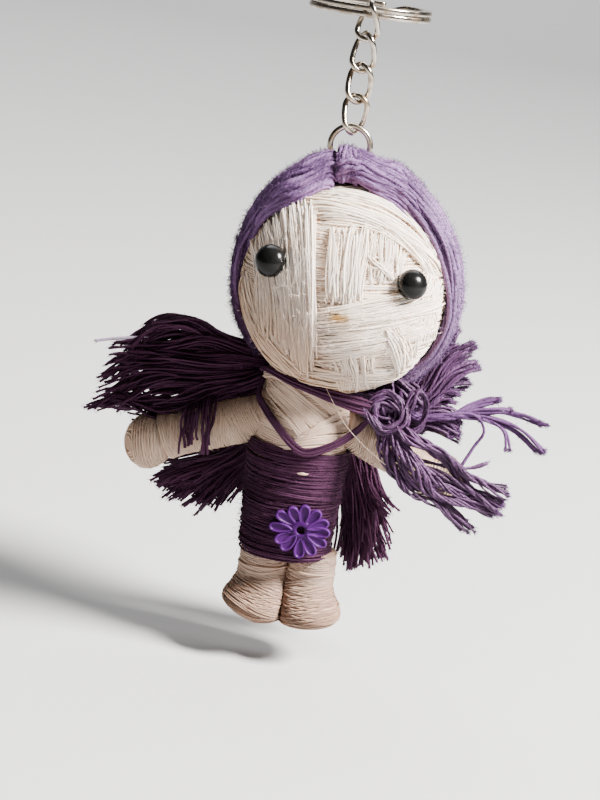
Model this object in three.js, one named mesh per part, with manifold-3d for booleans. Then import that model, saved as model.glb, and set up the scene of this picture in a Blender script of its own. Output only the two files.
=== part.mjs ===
// A string doll on a key ring: a wound-string doll that hangs by a twisted-link chain from a split ring.
// Millimetres, +Z up. The doll looks along -Y, and left and right are the viewer's, so left is -X.
// The origin is the centre of the split ring. The chain and the doll hang from the ring's front.
import * as THREE from "three";
import { mergeVertices } from "three/addons/utils/BufferGeometryUtils.js";
import Module from "manifold-3d";

const wasm = await Module();
wasm.setup();

// Clearances
const REST_GAP = 0.3; // between pieces that lie against each other
const LINK_PLAY = 0.2; // between the bearing faces of two links
const COIL_GAP = 0.15; // between the two turns of the split ring

// Split ring, two turns of flat wire
const RING_OUTER_D = 25;
const RING_BAND_W = 1.9;
const RING_BAND_T = 1.1;
const RING_EDGE = 0.35; // rounding of the wire's edges
const RING_STEP_DEG = 30; // arc of the step from the lower turn to the upper one
const RING_STEP_AT_DEG = 60; // where the step is, from the right side towards the back

// Chain of twisted oval links
const LINK_COUNT = 4;
const LINK_WIRE_D = 1.2;
const LINK_LENGTH = 8.8;
const LINK_WIDTH = 5.6;
const LINK_TWIST_DEG = 90; // from a link's upper end to its lower end
const LINK_TURN_DEG = 20; // how far each link hangs turned from the one above it

// Jump ring through the loop on the crown
const JUMP_OUTER_D = 9.2;
const JUMP_WIRE_D = 1.2;
const CROWN_STRING_D = 2;

// Head: a foam ball wound with string, with two bead eyes on shanks
const HEAD_CORE_D = 38.6;
const HEAD_STRING_D = 1.1;
const HEAD_LOOPS = 12;
const HEAD_POLE_DEG = 22; // bare cap at the crown and at the neck
const HEAD_SIDE = 3; // the head leans this far to the right of the chain
const EYE_D = 5.6;
const EYE_H = 4;
const EYE_SPACING = 27.4;
const EYE_SIDE = -1.3; // middle of the eyes, from the middle of the head
const EYE_RISE = 6;
const EYE_SHANK_D = 0.9;
const EYE_SHANK_L = 3.5;

// Hair, in two halves from a parting
const HAIR_CROWN_T = 3.4;
const HAIR_SIDE_T = 2.4;
const HAIR_BACK_T = 3.6;
const HAIR_FRONT_Y = -1; // the hairline, from the middle of the head
const HAIR_DROP = 18.5; // lower edge at the nape, from the middle of the head
const PARTING_W = 0.5;

// Hair bundles: a round root, then half the width and half the thickness of the cut end,
// and how far that end lies sideways from the tie, or the root, and below it
const BUNDLE_ROOT_R = 2.2;
const HAIR_TIE_D = 1.8;
const TIE_AT = 0.33; // share of a bundle's length where it is tied
const PIGTAIL_FLARE = 7.4;
const PIGTAIL_T = 3.6;
const PIGTAIL_LIFT = 2; // the pigtails arch up before they fall
const PIGTAIL_LEFT_SWEEP = 28.5;
const PIGTAIL_LEFT_FALL = 5.5;
const PIGTAIL_RIGHT_SWEEP = 31;
const PIGTAIL_RIGHT_FALL = 0.5;
const LOWER_FLARE = 5;
const LOWER_T = 2;
const LOWER_SWEEP = 20.5;
const LOWER_FALL = 17;
const BACK_FLARE = 6.6;
const BACK_T = 2.6;
const BACK_LEFT_SIDE = -7; // the root, from the middle of the head
const BACK_LEFT_SWEEP = -18.5;
const BACK_LEFT_FALL = 37;
const BACK_RIGHT_SIDE = 3.5;
const BACK_RIGHT_SWEEP = 12;
const BACK_RIGHT_FALL = 44;

// Body, an oval section wider than deep
const BODY_DEPTH_RATIO = 0.82;
const NECK_W = 18.4;
const NECK_RISE = 1.6; // how far the neck cups the underside of the head
const NECK_TIE_D = 2;
const CHEST_W = 22;
const CHEST_DROP = 4.2; // from the neck tie to the full width of the chest
const STRAP_D = 1.6;
const DRESS_TOP_W = 22;
const DRESS_HEM_W = 20;
const DRESS_LENGTH = 22.5;
const DRESS_LOOPS = 14;
const DRESS_STRING_D = 1.05;
const DRESS_DROP = 13.4; // from the underside of the head to the dress

// Flower button
const FLOWER_D = 13.6;
const FLOWER_T = 1.7;
const FLOWER_PETALS = 12;
const FLOWER_HOLE_D = 1.7;
const FLOWER_SIDE = 2;
const FLOWER_RISE = 8; // from the hem to the middle of the flower

// Arms and legs, string wound on a wire
const LIMB_STRING_D = 0.8;
const ARM_D = 9.6;
const ARM_DROOP_DEG = 21;
const ARM_REACH = 39.7; // from the middle of the body to the tip of the hand
const ARM_LOOPS = 5;
const ARM_ROOT_DROP = 4; // from the underside of the head to where the arms' middle lines meet
const HAND_D = 10.4;
const HAND_L = 9.4;
const LEG_D = 9.5;
const LEG_L = 6.8;
const LEG_LOOPS = 2;
const LEG_SPLIT = 0.5; // between the legs
const FOOT_W = 9.6;
const FOOT_T = 8;
const FOOT_L = 15.5;
const FOOT_HEEL = 4.4; // from the leg's middle to the back of the heel
const TOE_OUT_DEG = 14;
const WIRE_D = 1.2;
const WIRE_SPACING = 1.8; // between the two spine wires in the neck
const ARM_WIRE_BACK = 2.4; // the arm wire passes behind the spine wires

// Places worked out from the sizes above, from the ring down
const ringMidR = (RING_OUTER_D - RING_BAND_W) / 2;
const chainY = -ringMidR;
const ringHalfT = RING_BAND_T + COIL_GAP / 2;
const linkEnd = (LINK_LENGTH - LINK_WIRE_D) / 2;
const linkPitch = 2 * linkEnd - LINK_WIRE_D - LINK_PLAY;
const firstLinkZ = ringHalfT + LINK_PLAY + LINK_WIRE_D / 2 - linkEnd;
const lastLinkZ = firstLinkZ - (LINK_COUNT - 1) * linkPitch;
const jumpMidR = (JUMP_OUTER_D - JUMP_WIRE_D) / 2;
const jumpZ = lastLinkZ - linkEnd + (LINK_WIRE_D + JUMP_WIRE_D) / 2 + LINK_PLAY - jumpMidR;
const jumpBottomZ = jumpZ - jumpMidR;
const crownZ = jumpBottomZ - JUMP_WIRE_D / 2 - REST_GAP;
const headR = HEAD_CORE_D / 2 + REST_GAP + HEAD_STRING_D;
const head = new THREE.Vector3(HEAD_SIDE, 0, crownZ - HAIR_CROWN_T - headR);
const chinZ = head.z - headR;
const tieZ = chinZ - REST_GAP - NECK_TIE_D / 2;
const shoulderZ = tieZ - NECK_TIE_D / 2 - REST_GAP;
const chestZ = tieZ - CHEST_DROP;
const dressTopZ = chinZ - DRESS_DROP;
const hemZ = dressTopZ - DRESS_LENGTH;
const dressInset = DRESS_STRING_D + REST_GAP;
const legTopZ = hemZ - REST_GAP;
const legBottomZ = legTopZ - LEG_L;
const legX = (LEG_D + LEG_SPLIT) / 2;
const footZ = legBottomZ - REST_GAP - FOOT_T / 4;
const armRootZ = chinZ - ARM_ROOT_DROP;

// Finishes
function finish(color, roughness, metalness = 0) {
  return new THREE.MeshStandardMaterial({ color, roughness, metalness });
}
const steel = finish(0xc9c2b4, 0.25, 1);
const blackBead = finish(0x0b0b0d, 0.12);
const creamString = finish(0xe6dccd, 0.9);
const foam = finish(0xf2efe8, 0.95);
const purpleHair = finish(0x5d4485, 0.9);
const purpleString = finish(0x43284f, 0.9);
const flowerPlastic = finish(0x6c3f9e, 0.3);
const coreWire = finish(0x8b8680, 0.5, 0.8);

// Solids
function solidOf(geometry) {
  geometry.deleteAttribute("normal");
  geometry.deleteAttribute("uv");
  const merged = mergeVertices(geometry, 1e-3);
  const vertProperties = new Float32Array(merged.getAttribute("position").array);
  const triVerts = new Uint32Array(merged.index.array);
  return new wasm.Manifold(new wasm.Mesh({ numProp: 3, vertProperties, triVerts }));
}

function geometryOf(solid) {
  const mesh = solid.getMesh();
  const geometry = new THREE.BufferGeometry();
  geometry.setAttribute("position", new THREE.BufferAttribute(mesh.vertProperties, 3));
  geometry.setIndex(new THREE.BufferAttribute(mesh.triVerts, 1));
  return geometry;
}

const doll = new THREE.Group();
doll.position.set(0, chainY, 0);
const keyRing = new THREE.Group();
keyRing.add(doll);

function addTo(group, name, shape, material) {
  const geometry = shape.isBufferGeometry ? shape : geometryOf(shape);
  const mesh = new THREE.Mesh(geometry, material);
  mesh.name = name;
  group.add(mesh);
  return mesh;
}

// A straight rod bent along a path: at(t) is its middle line for t from 0 to 1, out(t) a direction across it,
// and radius(t) its half widths along out and square to it.
function bentRod(at, out, radius, steps, sides) {
  const rod = new THREE.CylinderGeometry(1, 1, 1, sides, steps);
  const position = rod.getAttribute("position");
  const tangent = new THREE.Vector3();
  const spot = new THREE.Vector3();
  const nudge = 1e-4;
  for (let i = 0; i < position.count; i++) {
    const t = position.getY(i) + 0.5;
    const [wide, thick] = radius(t);
    tangent.copy(at(Math.min(1, t + nudge))).sub(at(Math.max(0, t - nudge))).normalize();
    const across = out(t).clone().addScaledVector(tangent, -out(t).dot(tangent)).normalize();
    const over = new THREE.Vector3().crossVectors(across, tangent);
    spot.copy(at(t));
    spot.addScaledVector(across, position.getX(i) * wide);
    spot.addScaledVector(over, position.getZ(i) * thick);
    position.setXYZ(i, spot.x, spot.y, spot.z);
  }
  return rod;
}

// A round rod through a few points
function roundRod(points, radius, steps, sides, out) {
  const curve = new THREE.CatmullRomCurve3(points);
  return bentRod((t) => curve.getPoint(t), () => out, () => [radius, radius], steps, sides);
}

// Least gap of a winding to itself, measured on its middle line, loops apart
function leastGap(at, loops, diameter) {
  const stepsPerLoop = 24;
  const count = loops * stepsPerLoop;
  const points = Array.from({ length: count + 1 }, (_, i) => at(i / count).clone());
  let least = Infinity;
  for (let i = 0; i <= count; i++) {
    for (let j = i + stepsPerLoop / 2; j <= count; j++) {
      least = Math.min(least, points[i].distanceTo(points[j]));
    }
  }
  return least - diameter;
}

// One unbroken string wound round a core
function winding(name, at, out, loops, diameter, stepsPerLoop, sides) {
  console.log(`${name}: least gap to itself ${leastGap(at, loops, diameter).toFixed(2)} mm`);
  const half = diameter / 2;
  return bentRod(at, out, () => [half, half], loops * stepsPerLoop, sides);
}

// A turned form that stands on the z axis, from (radius, z) pairs listed from the bottom up
function turned(profile, segments) {
  return new THREE.LatheGeometry(profile.map(([r, z]) => new THREE.Vector2(r, z)), segments)
    .rotateX(Math.PI / 2);
}

function ellipsoid(x, y, z, across, up) {
  return new THREE.SphereGeometry(1, across, up).rotateX(Math.PI / 2).scale(x, y, z);
}

// Split ring: a straight flat wire bent round two turns, with one step between them
function splitRing() {
  const stepArc = THREE.MathUtils.degToRad(RING_STEP_DEG);
  const turn = 2 * Math.PI;
  const arc = 2 * turn - stepArc;
  const stepsPerTurn = 27;
  const halfW = RING_BAND_W / 2;
  const halfT = RING_BAND_T / 2;
  const section = new THREE.Shape([
    new THREE.Vector2(-halfW + RING_EDGE, -halfT),
    new THREE.Vector2(halfW - RING_EDGE, -halfT),
    new THREE.Vector2(halfW, -halfT + RING_EDGE),
    new THREE.Vector2(halfW, halfT - RING_EDGE),
    new THREE.Vector2(halfW - RING_EDGE, halfT),
    new THREE.Vector2(-halfW + RING_EDGE, halfT),
    new THREE.Vector2(-halfW, halfT - RING_EDGE),
    new THREE.Vector2(-halfW, -halfT + RING_EDGE),
  ]);
  const band = new THREE.ExtrudeGeometry(section, { depth: arc, steps: 2 * stepsPerTurn, bevelEnabled: false });
  const position = band.getAttribute("position");
  const start = THREE.MathUtils.degToRad(RING_STEP_AT_DEG) - stepArc / 2;
  const climbFrom = turn - stepArc;
  const rise = RING_BAND_T + COIL_GAP;
  for (let i = 0; i < position.count; i++) {
    const along = position.getZ(i);
    const climbed = THREE.MathUtils.smoothstep(along, climbFrom, turn);
    const r = ringMidR + position.getX(i);
    const z = position.getY(i) + rise * (climbed - 0.5);
    position.setXYZ(i, r * Math.cos(start - along), r * Math.sin(start - along), z);
  }
  return solidOf(band);
}

// Chain link: an oval of round wire, twisted about its length
class TwistedLink extends THREE.Curve {
  constructor(middleTurn) {
    super();
    const endR = (LINK_WIDTH - LINK_WIRE_D) / 2;
    const straight = linkEnd - endR;
    this.middleTurn = middleTurn;
    this.outline = new THREE.Path();
    this.outline.absarc(0, straight, endR, 0, Math.PI);
    this.outline.absarc(0, -straight, endR, Math.PI, 2 * Math.PI);
    this.outline.closePath();
  }

  getPoint(t, target = new THREE.Vector3()) {
    const flat = this.outline.getPointAt(t % 1);
    const twist = -THREE.MathUtils.degToRad(LINK_TWIST_DEG / 2) * (flat.y / linkEnd);
    const turn = this.middleTurn + twist;
    return target.set(flat.x * Math.cos(turn), flat.x * Math.sin(turn), flat.y);
  }
}

function chainLink(index) {
  const upperEnd = -Math.PI / 2 + THREE.MathUtils.degToRad(LINK_TURN_DEG * index);
  const middleTurn = upperEnd + THREE.MathUtils.degToRad(LINK_TWIST_DEG / 2);
  return new THREE.TubeGeometry(new TwistedLink(middleTurn), 26, LINK_WIRE_D / 2, 7, true);
}

// Crown loop: a string arch over the lower wire of the jump ring, with both legs on the head
function crownLoop(grow) {
  const archR = JUMP_WIRE_D / 2 + LINK_PLAY + CROWN_STRING_D / 2;
  const seatR = HEAD_CORE_D / 2 + REST_GAP;
  const legEnd = head.z + Math.sqrt(seatR ** 2 - HEAD_SIDE ** 2 - (archR + CROWN_STRING_D / 2) ** 2);
  const leg = jumpBottomZ - legEnd;
  const path = new THREE.CurvePath();
  const front = new THREE.Vector3(0, -archR, jumpBottomZ);
  const back = new THREE.Vector3(0, archR, jumpBottomZ);
  const apex = archR * (4 / 3);
  const down = new THREE.Vector3(0, 0, -leg);
  path.add(new THREE.LineCurve3(front.clone().add(down), front));
  const lift = new THREE.Vector3(0, 0, apex);
  path.add(new THREE.CubicBezierCurve3(front, front.clone().add(lift), back.clone().add(lift), back));
  path.add(new THREE.LineCurve3(back, back.clone().add(down)));
  const radius = CROWN_STRING_D / 2 + grow;
  const sideways = new THREE.Vector3(1, 0, 0);
  return bentRod((t) => path.getPoint(t), () => sideways, () => [radius, radius], 16, 7);
}

// Head
function headBall(grow) {
  const r = headR + grow;
  return solidOf(ellipsoid(r, r, r, 24, 14).translate(head.x, head.y, head.z));
}

function eyePlace(side) {
  const x = EYE_SIDE + side * EYE_SPACING / 2;
  const y = -Math.sqrt(headR ** 2 - x ** 2 - EYE_RISE ** 2);
  return new THREE.Vector3(x, y, EYE_RISE);
}

function onFace(geometry, side) {
  const place = eyePlace(side);
  const turn = new THREE.Quaternion();
  turn.setFromUnitVectors(new THREE.Vector3(0, 0, 1), place.clone().normalize());
  return geometry.applyQuaternion(turn).translate(head.x + place.x, place.y, head.z + place.z);
}

function beadEye(side) {
  const profile = [
    [0, -EYE_SHANK_L],
    [EYE_SHANK_D / 2, -EYE_SHANK_L],
    [EYE_SHANK_D / 2, REST_GAP],
  ];
  const bulge = EYE_D / 2;
  const rings = 6;
  const backAngle = -Math.PI / 5;
  const middle = REST_GAP - EYE_H * Math.sin(backAngle) / (1 - Math.sin(backAngle));
  const height = EYE_H + REST_GAP - middle;
  for (let i = 0; i <= rings; i++) {
    const angle = backAngle + (Math.PI / 2 - backAngle) * (i / rings);
    profile.push([i === rings ? 0 : bulge * Math.cos(angle), middle + height * Math.sin(angle)]);
  }
  return onFace(turned(profile, 14), side);
}

function eyeBore(side) {
  const r = EYE_SHANK_D / 2 + REST_GAP;
  const end = -EYE_SHANK_L - REST_GAP;
  return solidOf(onFace(turned([[0, end], [r, end], [r, HEAD_STRING_D], [0, HEAD_STRING_D]], 8), side));
}

// The string goes round the ball from pole to pole, and parts evenly round the eyes' shanks
function headWinding() {
  const r = HEAD_CORE_D / 2 + REST_GAP + HEAD_STRING_D / 2;
  const pole = THREE.MathUtils.degToRad(HEAD_POLE_DEG);
  const step = (Math.PI - 2 * pole) / HEAD_LOOPS;
  const eyeAngle = Math.acos(EYE_RISE / headR);
  const loopsToEyes = (eyeAngle - pole) / step + 0.5;
  const front = -Math.PI / 2;
  const start = front - 2 * Math.PI * loopsToEyes;
  const out = (t) => {
    const polar = pole + step * HEAD_LOOPS * t;
    const round = start + 2 * Math.PI * HEAD_LOOPS * t;
    return new THREE.Vector3(
      Math.sin(polar) * Math.cos(round), Math.sin(polar) * Math.sin(round), Math.cos(polar));
  };
  const at = (t) => out(t).multiplyScalar(r).add(head);
  return winding("head_winding", at, out, HEAD_LOOPS, HEAD_STRING_D, 22, 5);
}

// Hair: an oval mass round the back of the head, cut at the hairline and the nape
function hairMass(grow) {
  const left = headR + HAIR_SIDE_T + grow;
  const back = headR + HAIR_BACK_T + grow;
  const up = headR + HAIR_CROWN_T + grow;
  const mass = solidOf(ellipsoid(left, back, up, 28, 16).translate(head.x, head.y, head.z));
  return mass.trimByPlane([0, 0, 1], head.z - HAIR_DROP - grow);
}

function hairHalf(side) {
  const shell = hairMass(0).trimByPlane([0, 1, 0], head.y + HAIR_FRONT_Y).subtract(headBall(REST_GAP));
  const loopRoom = solidOf(crownLoop(REST_GAP));
  return shell.subtract(loopRoom).trimByPlane([side, 0, 0], PARTING_W / 2);
}

// A bundle of strings along a path, narrow at its tied root and flared to its cut end
function bundle(points, flare, thickness, across) {
  const curve = new THREE.CatmullRomCurve3(points);
  const radius = (t) => {
    const spread = THREE.MathUtils.smoothstep(t, TIE_AT, 0.85);
    return [
      THREE.MathUtils.lerp(BUNDLE_ROOT_R, thickness, spread),
      THREE.MathUtils.lerp(BUNDLE_ROOT_R, flare, spread),
    ];
  };
  const rod = bentRod((t) => curve.getPoint(t), () => across, radius, 10, 12);
  return solidOf(rod).subtract(hairMass(REST_GAP));
}

// The ring of string that ties a bundle at the end of its narrow root
function hairTie(points) {
  const curve = new THREE.CatmullRomCurve3(points);
  const ring = new THREE.TorusGeometry(
    BUNDLE_ROOT_R + REST_GAP + HAIR_TIE_D / 2, HAIR_TIE_D / 2, 6, 18);
  const turn = new THREE.Quaternion();
  turn.setFromUnitVectors(new THREE.Vector3(0, 0, 1), curve.getTangent(TIE_AT));
  const place = curve.getPoint(TIE_AT);
  return solidOf(ring.applyQuaternion(turn).translate(place.x, place.y, place.z));
}

// Bundle paths, from inside the hair outwards
const tieR = headR + HAIR_SIDE_T + HAIR_TIE_D + BUNDLE_ROOT_R + 2 * REST_GAP;
const leftTie = new THREE.Vector3(-0.69, 0.14, -0.71).setLength(tieR).add(head);
const rightTie = new THREE.Vector3(0.57, -0.11, -0.81).setLength(tieR).add(head);

function pigtailPath(tie, sweep, fall) {
  const root = tie.clone().sub(head).setLength(headR - BUNDLE_ROOT_R).add(head);
  const middle = tie.clone().add(new THREE.Vector3(0.42 * sweep, 0, PIGTAIL_LIFT - 0.42 * fall));
  const end = tie.clone().add(new THREE.Vector3(sweep, 0, -fall));
  return [root, tie, middle, end];
}

// The lower bundle leaves the right tie and passes in front of the right arm
function lowerPath() {
  const frontY = -(HAND_D / 2 + REST_GAP + 2 * LOWER_T);
  const startY = rightTie.y - 2 * (BUNDLE_ROOT_R + REST_GAP);
  const start = new THREE.Vector3(rightTie.x + HAIR_TIE_D + REST_GAP + 1, startY, rightTie.z);
  const along = (share, y) => new THREE.Vector3(
    start.x + share * LOWER_SWEEP, y, start.z - share * LOWER_FALL);
  return [start, along(0.2, frontY), along(0.6, frontY), along(1, frontY + LOWER_T)];
}

// The bundles at the back hang clear of the dressed body
function backPath(side, sweep, fall) {
  const halfDepth = BODY_DEPTH_RATIO * Math.max(CHEST_W, DRESS_TOP_W, DRESS_HEM_W) / 2;
  const y = halfDepth + 2 * REST_GAP + Math.max(BACK_T, BUNDLE_ROOT_R);
  const rootZ = head.z - HAIR_DROP + BUNDLE_ROOT_R;
  const along = (share, drop) => new THREE.Vector3(
    head.x + side + share * sweep, y, rootZ - drop * fall);
  return [along(0, 0), along(0.13, 0.25), along(0.49, 0.62), along(1, 1)];
}

const pigtailLeft = pigtailPath(leftTie, -PIGTAIL_LEFT_SWEEP, PIGTAIL_LEFT_FALL);
const pigtailRight = pigtailPath(rightTie, PIGTAIL_RIGHT_SWEEP, PIGTAIL_RIGHT_FALL);
const pigtailRightLower = lowerPath();
const backLeft = backPath(BACK_LEFT_SIDE, BACK_LEFT_SWEEP, BACK_LEFT_FALL);
const backRight = backPath(BACK_RIGHT_SIDE, BACK_RIGHT_SWEEP, BACK_RIGHT_FALL);

// Body
const bodyProfile = [
  [0, hemZ],
  [DRESS_HEM_W / 2 - dressInset, hemZ],
  [DRESS_TOP_W / 2 - dressInset, dressTopZ],
  [CHEST_W / 2, dressTopZ + REST_GAP],
  [CHEST_W / 2, chestZ],
  [NECK_W / 2, shoulderZ],
  [NECK_W / 2, chinZ + NECK_RISE],
  [0, chinZ + NECK_RISE],
];

function bodyForm(profile) {
  return solidOf(turned(profile, 22).scale(1, BODY_DEPTH_RATIO, 1));
}

// Half width of the wound dress at a height
function dressHalfW(z) {
  return THREE.MathUtils.mapLinear(z, hemZ, dressTopZ, DRESS_HEM_W / 2, DRESS_TOP_W / 2);
}

// The room that the dressed body takes, for what lies against it
function bodyRoom(grow) {
  const out = grow / BODY_DEPTH_RATIO;
  return bodyForm([
    [0, hemZ - grow],
    [DRESS_HEM_W / 2 + out, hemZ - grow],
    [Math.max(DRESS_TOP_W, CHEST_W) / 2 + out, dressTopZ],
    [CHEST_W / 2 + out, chestZ + grow],
    [NECK_W / 2 + out, shoulderZ + grow],
    [NECK_W / 2 + out, chinZ + NECK_RISE + grow],
    [0, chinZ + NECK_RISE + grow],
  ]);
}

function dressWinding() {
  const half = DRESS_STRING_D / 2;
  const top = dressTopZ - half - REST_GAP;
  const bottom = hemZ + half;
  const round = (t) => 2 * Math.PI * DRESS_LOOPS * t;
  const out = (t) => new THREE.Vector3(
    Math.cos(round(t)) * BODY_DEPTH_RATIO, Math.sin(round(t)), 0).normalize();
  const at = (t) => {
    const z = THREE.MathUtils.lerp(bottom, top, t);
    const across = dressHalfW(z) - half;
    return new THREE.Vector3(
      across * Math.cos(round(t)), across * BODY_DEPTH_RATIO * Math.sin(round(t)), z);
  };
  return winding("dress_winding", at, out, DRESS_LOOPS, DRESS_STRING_D, 22, 5);
}

// Neck tie: a ring of string that lies on the shoulders
function neckTie() {
  const reach = NECK_W / 2 + REST_GAP / BODY_DEPTH_RATIO + NECK_TIE_D / 2;
  const ring = new THREE.EllipseCurve(0, 0, reach, reach * BODY_DEPTH_RATIO + NECK_TIE_D / 4);
  const points = ring.getSpacedPoints(24).slice(1).map((p) => new THREE.Vector3(p.x, p.y, tieZ));
  const loop = new THREE.CatmullRomCurve3(points, true);
  return new THREE.TubeGeometry(loop, 24, NECK_TIE_D / 2, 6, true);
}

// Halter strap: from the neck tie down to a point above the dress and up again, flat against the chest
function halterStrap() {
  const lay = STRAP_D / 2 + REST_GAP;
  const half = CHEST_W / 2;
  const low = dressTopZ + STRAP_D / 2 + REST_GAP;
  const route = [[-0.84, 1], [-0.7, 0.74], [-0.38, 0.13], [-0.03, 0], [0.36, 0.13], [0.62, 0.65], [0.8, 0.94]];
  const points = route.map(([across, up]) => new THREE.Vector3(
    across * (half + lay),
    -(half * BODY_DEPTH_RATIO + lay) * Math.sqrt(1 - across ** 2),
    THREE.MathUtils.lerp(low, chestZ, up)));
  return roundRod(points, STRAP_D / 2, 20, 6, new THREE.Vector3(0, 0, 1));
}

// Flower button: a ring of domed petals round a dished middle, with one hole, flat at the back
function flowerButton() {
  const petalL = FLOWER_D * 0.15;
  const petalW = Math.PI * (FLOWER_D - 2 * petalL) / FLOWER_PETALS * 0.56;
  const middleR = FLOWER_D / 2 - petalL;
  let flower = solidOf(new THREE.CylinderGeometry(middleR, middleR, FLOWER_T, 24));
  for (let i = 0; i < FLOWER_PETALS; i++) {
    const petal = ellipsoid(petalL, petalW, FLOWER_T, 8, 4).rotateX(-Math.PI / 2);
    petal.translate(FLOWER_D / 2 - petalL, 0, 0).rotateY((2 * Math.PI * i) / FLOWER_PETALS);
    flower = flower.add(solidOf(petal));
  }
  const dish = ellipsoid(middleR * 0.8, middleR * 0.8, FLOWER_T * 0.6, 16, 8).rotateX(-Math.PI / 2);
  flower = flower.subtract(solidOf(dish.translate(0, FLOWER_T * 0.8, 0)));
  const hole = new THREE.CylinderGeometry(FLOWER_HOLE_D / 2, FLOWER_HOLE_D / 2, 4 * FLOWER_T, 10);
  flower = flower.subtract(solidOf(hole)).trimByPlane([0, 1, 0], 0);
  const z = hemZ + FLOWER_RISE;
  const seat = (dressHalfW(z + FLOWER_D / 2)) * BODY_DEPTH_RATIO + REST_GAP;
  return flower.rotate([180, 0, 0]).translate([FLOWER_SIDE, -seat, z]);
}

// Arms: each is a turned form along its own middle line, which leaves the body at ARM_DROOP_DEG
const handStart = ARM_REACH - HAND_L;
const armCoreR = ARM_D / 2 - LIMB_STRING_D - REST_GAP;

function alongArm(geometry, side) {
  const droop = THREE.MathUtils.degToRad(ARM_DROOP_DEG);
  return geometry.rotateY(side * (Math.PI / 2 + droop)).translate(0, 0, armRootZ);
}

function armForm(side) {
  const wristR = armCoreR - 0.2;
  const form = turned([
    [0, CHEST_W / 4],
    [armCoreR, CHEST_W / 4],
    [armCoreR, handStart / 2],
    [wristR, handStart - REST_GAP],
    [0, handStart - REST_GAP],
  ], 14);
  return solidOf(alongArm(form, side)).subtract(bodyRoom(REST_GAP)).subtract(armWire(REST_GAP));
}

function handForm(side) {
  const r = HAND_D / 2;
  const form = turned([
    [0, handStart],
    [r * 0.9, handStart],
    [r, handStart + HAND_L * 0.3],
    [r * 0.94, handStart + HAND_L * 0.6],
    [r * 0.7, handStart + HAND_L * 0.86],
    [r * 0.35, ARM_REACH - HAND_L * 0.03],
    [0, ARM_REACH],
  ], 14);
  return solidOf(alongArm(form, side)).subtract(armWire(REST_GAP));
}

function limbWinding(name, from, to, radius, loops, place) {
  const round = (t) => 2 * Math.PI * loops * t;
  const out = (t) => new THREE.Vector3(Math.cos(round(t)), Math.sin(round(t)), 0);
  const at = (t) => out(t).multiplyScalar(radius).setZ(THREE.MathUtils.lerp(from, to, t));
  return place(winding(name, at, out, loops, LIMB_STRING_D, 11, 5));
}

function armWinding(name, side) {
  const droop = THREE.MathUtils.degToRad(ARM_DROOP_DEG);
  const bodyHalfW = Math.max(DRESS_TOP_W, CHEST_W) / 2 + REST_GAP;
  const from = (bodyHalfW + (ARM_D / 2) * Math.sin(droop)) / Math.cos(droop) + LIMB_STRING_D;
  const to = handStart - REST_GAP - LIMB_STRING_D;
  const r = (ARM_D - LIMB_STRING_D) / 2;
  return limbWinding(name, from, to, r, ARM_LOOPS, (geometry) => alongArm(geometry, side));
}

// Legs and feet
const legCoreR = LEG_D / 2 - LIMB_STRING_D - REST_GAP;

function legForm(side, grow) {
  const r = legCoreR + grow;
  const top = legTopZ + grow;
  const bottom = legBottomZ - grow;
  return solidOf(turned([[0, bottom], [r, bottom], [r, top], [0, top]], 14).translate(side * legX, 0, 0));
}

function legWinding(name, side) {
  const from = legBottomZ + FOOT_T / 4 + LIMB_STRING_D;
  const to = legTopZ - LIMB_STRING_D;
  const r = (LEG_D - LIMB_STRING_D) / 2;
  return limbWinding(name, from, to, r, LEG_LOOPS, (geometry) => geometry.translate(side * legX, 0, 0));
}

function footForm(side) {
  const r = FOOT_W / 2;
  const form = new THREE.CapsuleGeometry(r, FOOT_L - FOOT_W, 4, 13).scale(1, 1, FOOT_T / FOOT_W);
  form.translate(0, FOOT_HEEL - FOOT_L / 2, 0);
  form.rotateZ(side * THREE.MathUtils.degToRad(TOE_OUT_DEG));
  form.translate(side * legX, 0, footZ);
  const kept = solidOf(form).trimByPlane([side, 0, 0], LEG_SPLIT / 2);
  return kept.subtract(legForm(side, REST_GAP)).subtract(spineWire(side, REST_GAP));
}

// Wires inside: two from the toes up through the legs and body into the head, and one through both arms
function spineWire(side, grow) {
  const neckX = side * WIRE_SPACING / 2;
  const points = [
    new THREE.Vector3(head.x + neckX, 0, head.z - headR / 3),
    new THREE.Vector3(head.x + neckX, 0, chinZ + headR / 5),
    new THREE.Vector3(head.x / 2 + neckX, 0, shoulderZ),
    new THREE.Vector3(side * legX / 2, 0, dressTopZ),
    new THREE.Vector3(side * legX, 0, hemZ),
    new THREE.Vector3(side * legX, 0, legBottomZ),
    new THREE.Vector3(side * legX, -FOOT_T / 4, footZ),
    new THREE.Vector3(side * (legX + FOOT_W / 8), FOOT_HEEL - FOOT_L * 0.75 - grow, footZ),
  ];
  return solidOf(roundRod(points, WIRE_D / 2 + grow, 21, 6, new THREE.Vector3(1, 0, 0)));
}

function armWire(grow) {
  const droop = THREE.MathUtils.degToRad(ARM_DROOP_DEG);
  const end = ARM_REACH - HAND_L / 2 + grow;
  const out = (s) => new THREE.Vector3(
    s * Math.cos(droop), 0, armRootZ - Math.abs(s) * Math.sin(droop));
  const behind = new THREE.Vector3(0, ARM_WIRE_BACK, 0);
  const bend = CHEST_W / 5;
  const points = [-end, -handStart, -2 * bend, -bend, bend, 2 * bend, handStart, end].map(out);
  points.forEach((p, i) => i > 2 && i < 5 && p.add(behind));
  return solidOf(roundRod(points, WIRE_D / 2 + grow, 21, 6, new THREE.Vector3(0, 1, 0)));
}

function bodyCore() {
  const wires = spineWire(-1, REST_GAP).add(spineWire(1, REST_GAP)).add(armWire(REST_GAP));
  return bodyForm(bodyProfile).subtract(headBall(REST_GAP)).subtract(wires);
}

function headCore() {
  const r = HEAD_CORE_D / 2;
  const ball = solidOf(ellipsoid(r, r, r, 20, 12).translate(head.x, head.y, head.z));
  const bores = [eyeBore(-1), eyeBore(1), spineWire(-1, REST_GAP), spineWire(1, REST_GAP)];
  return bores.reduce((solid, bore) => solid.subtract(bore), ball);
}

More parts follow.
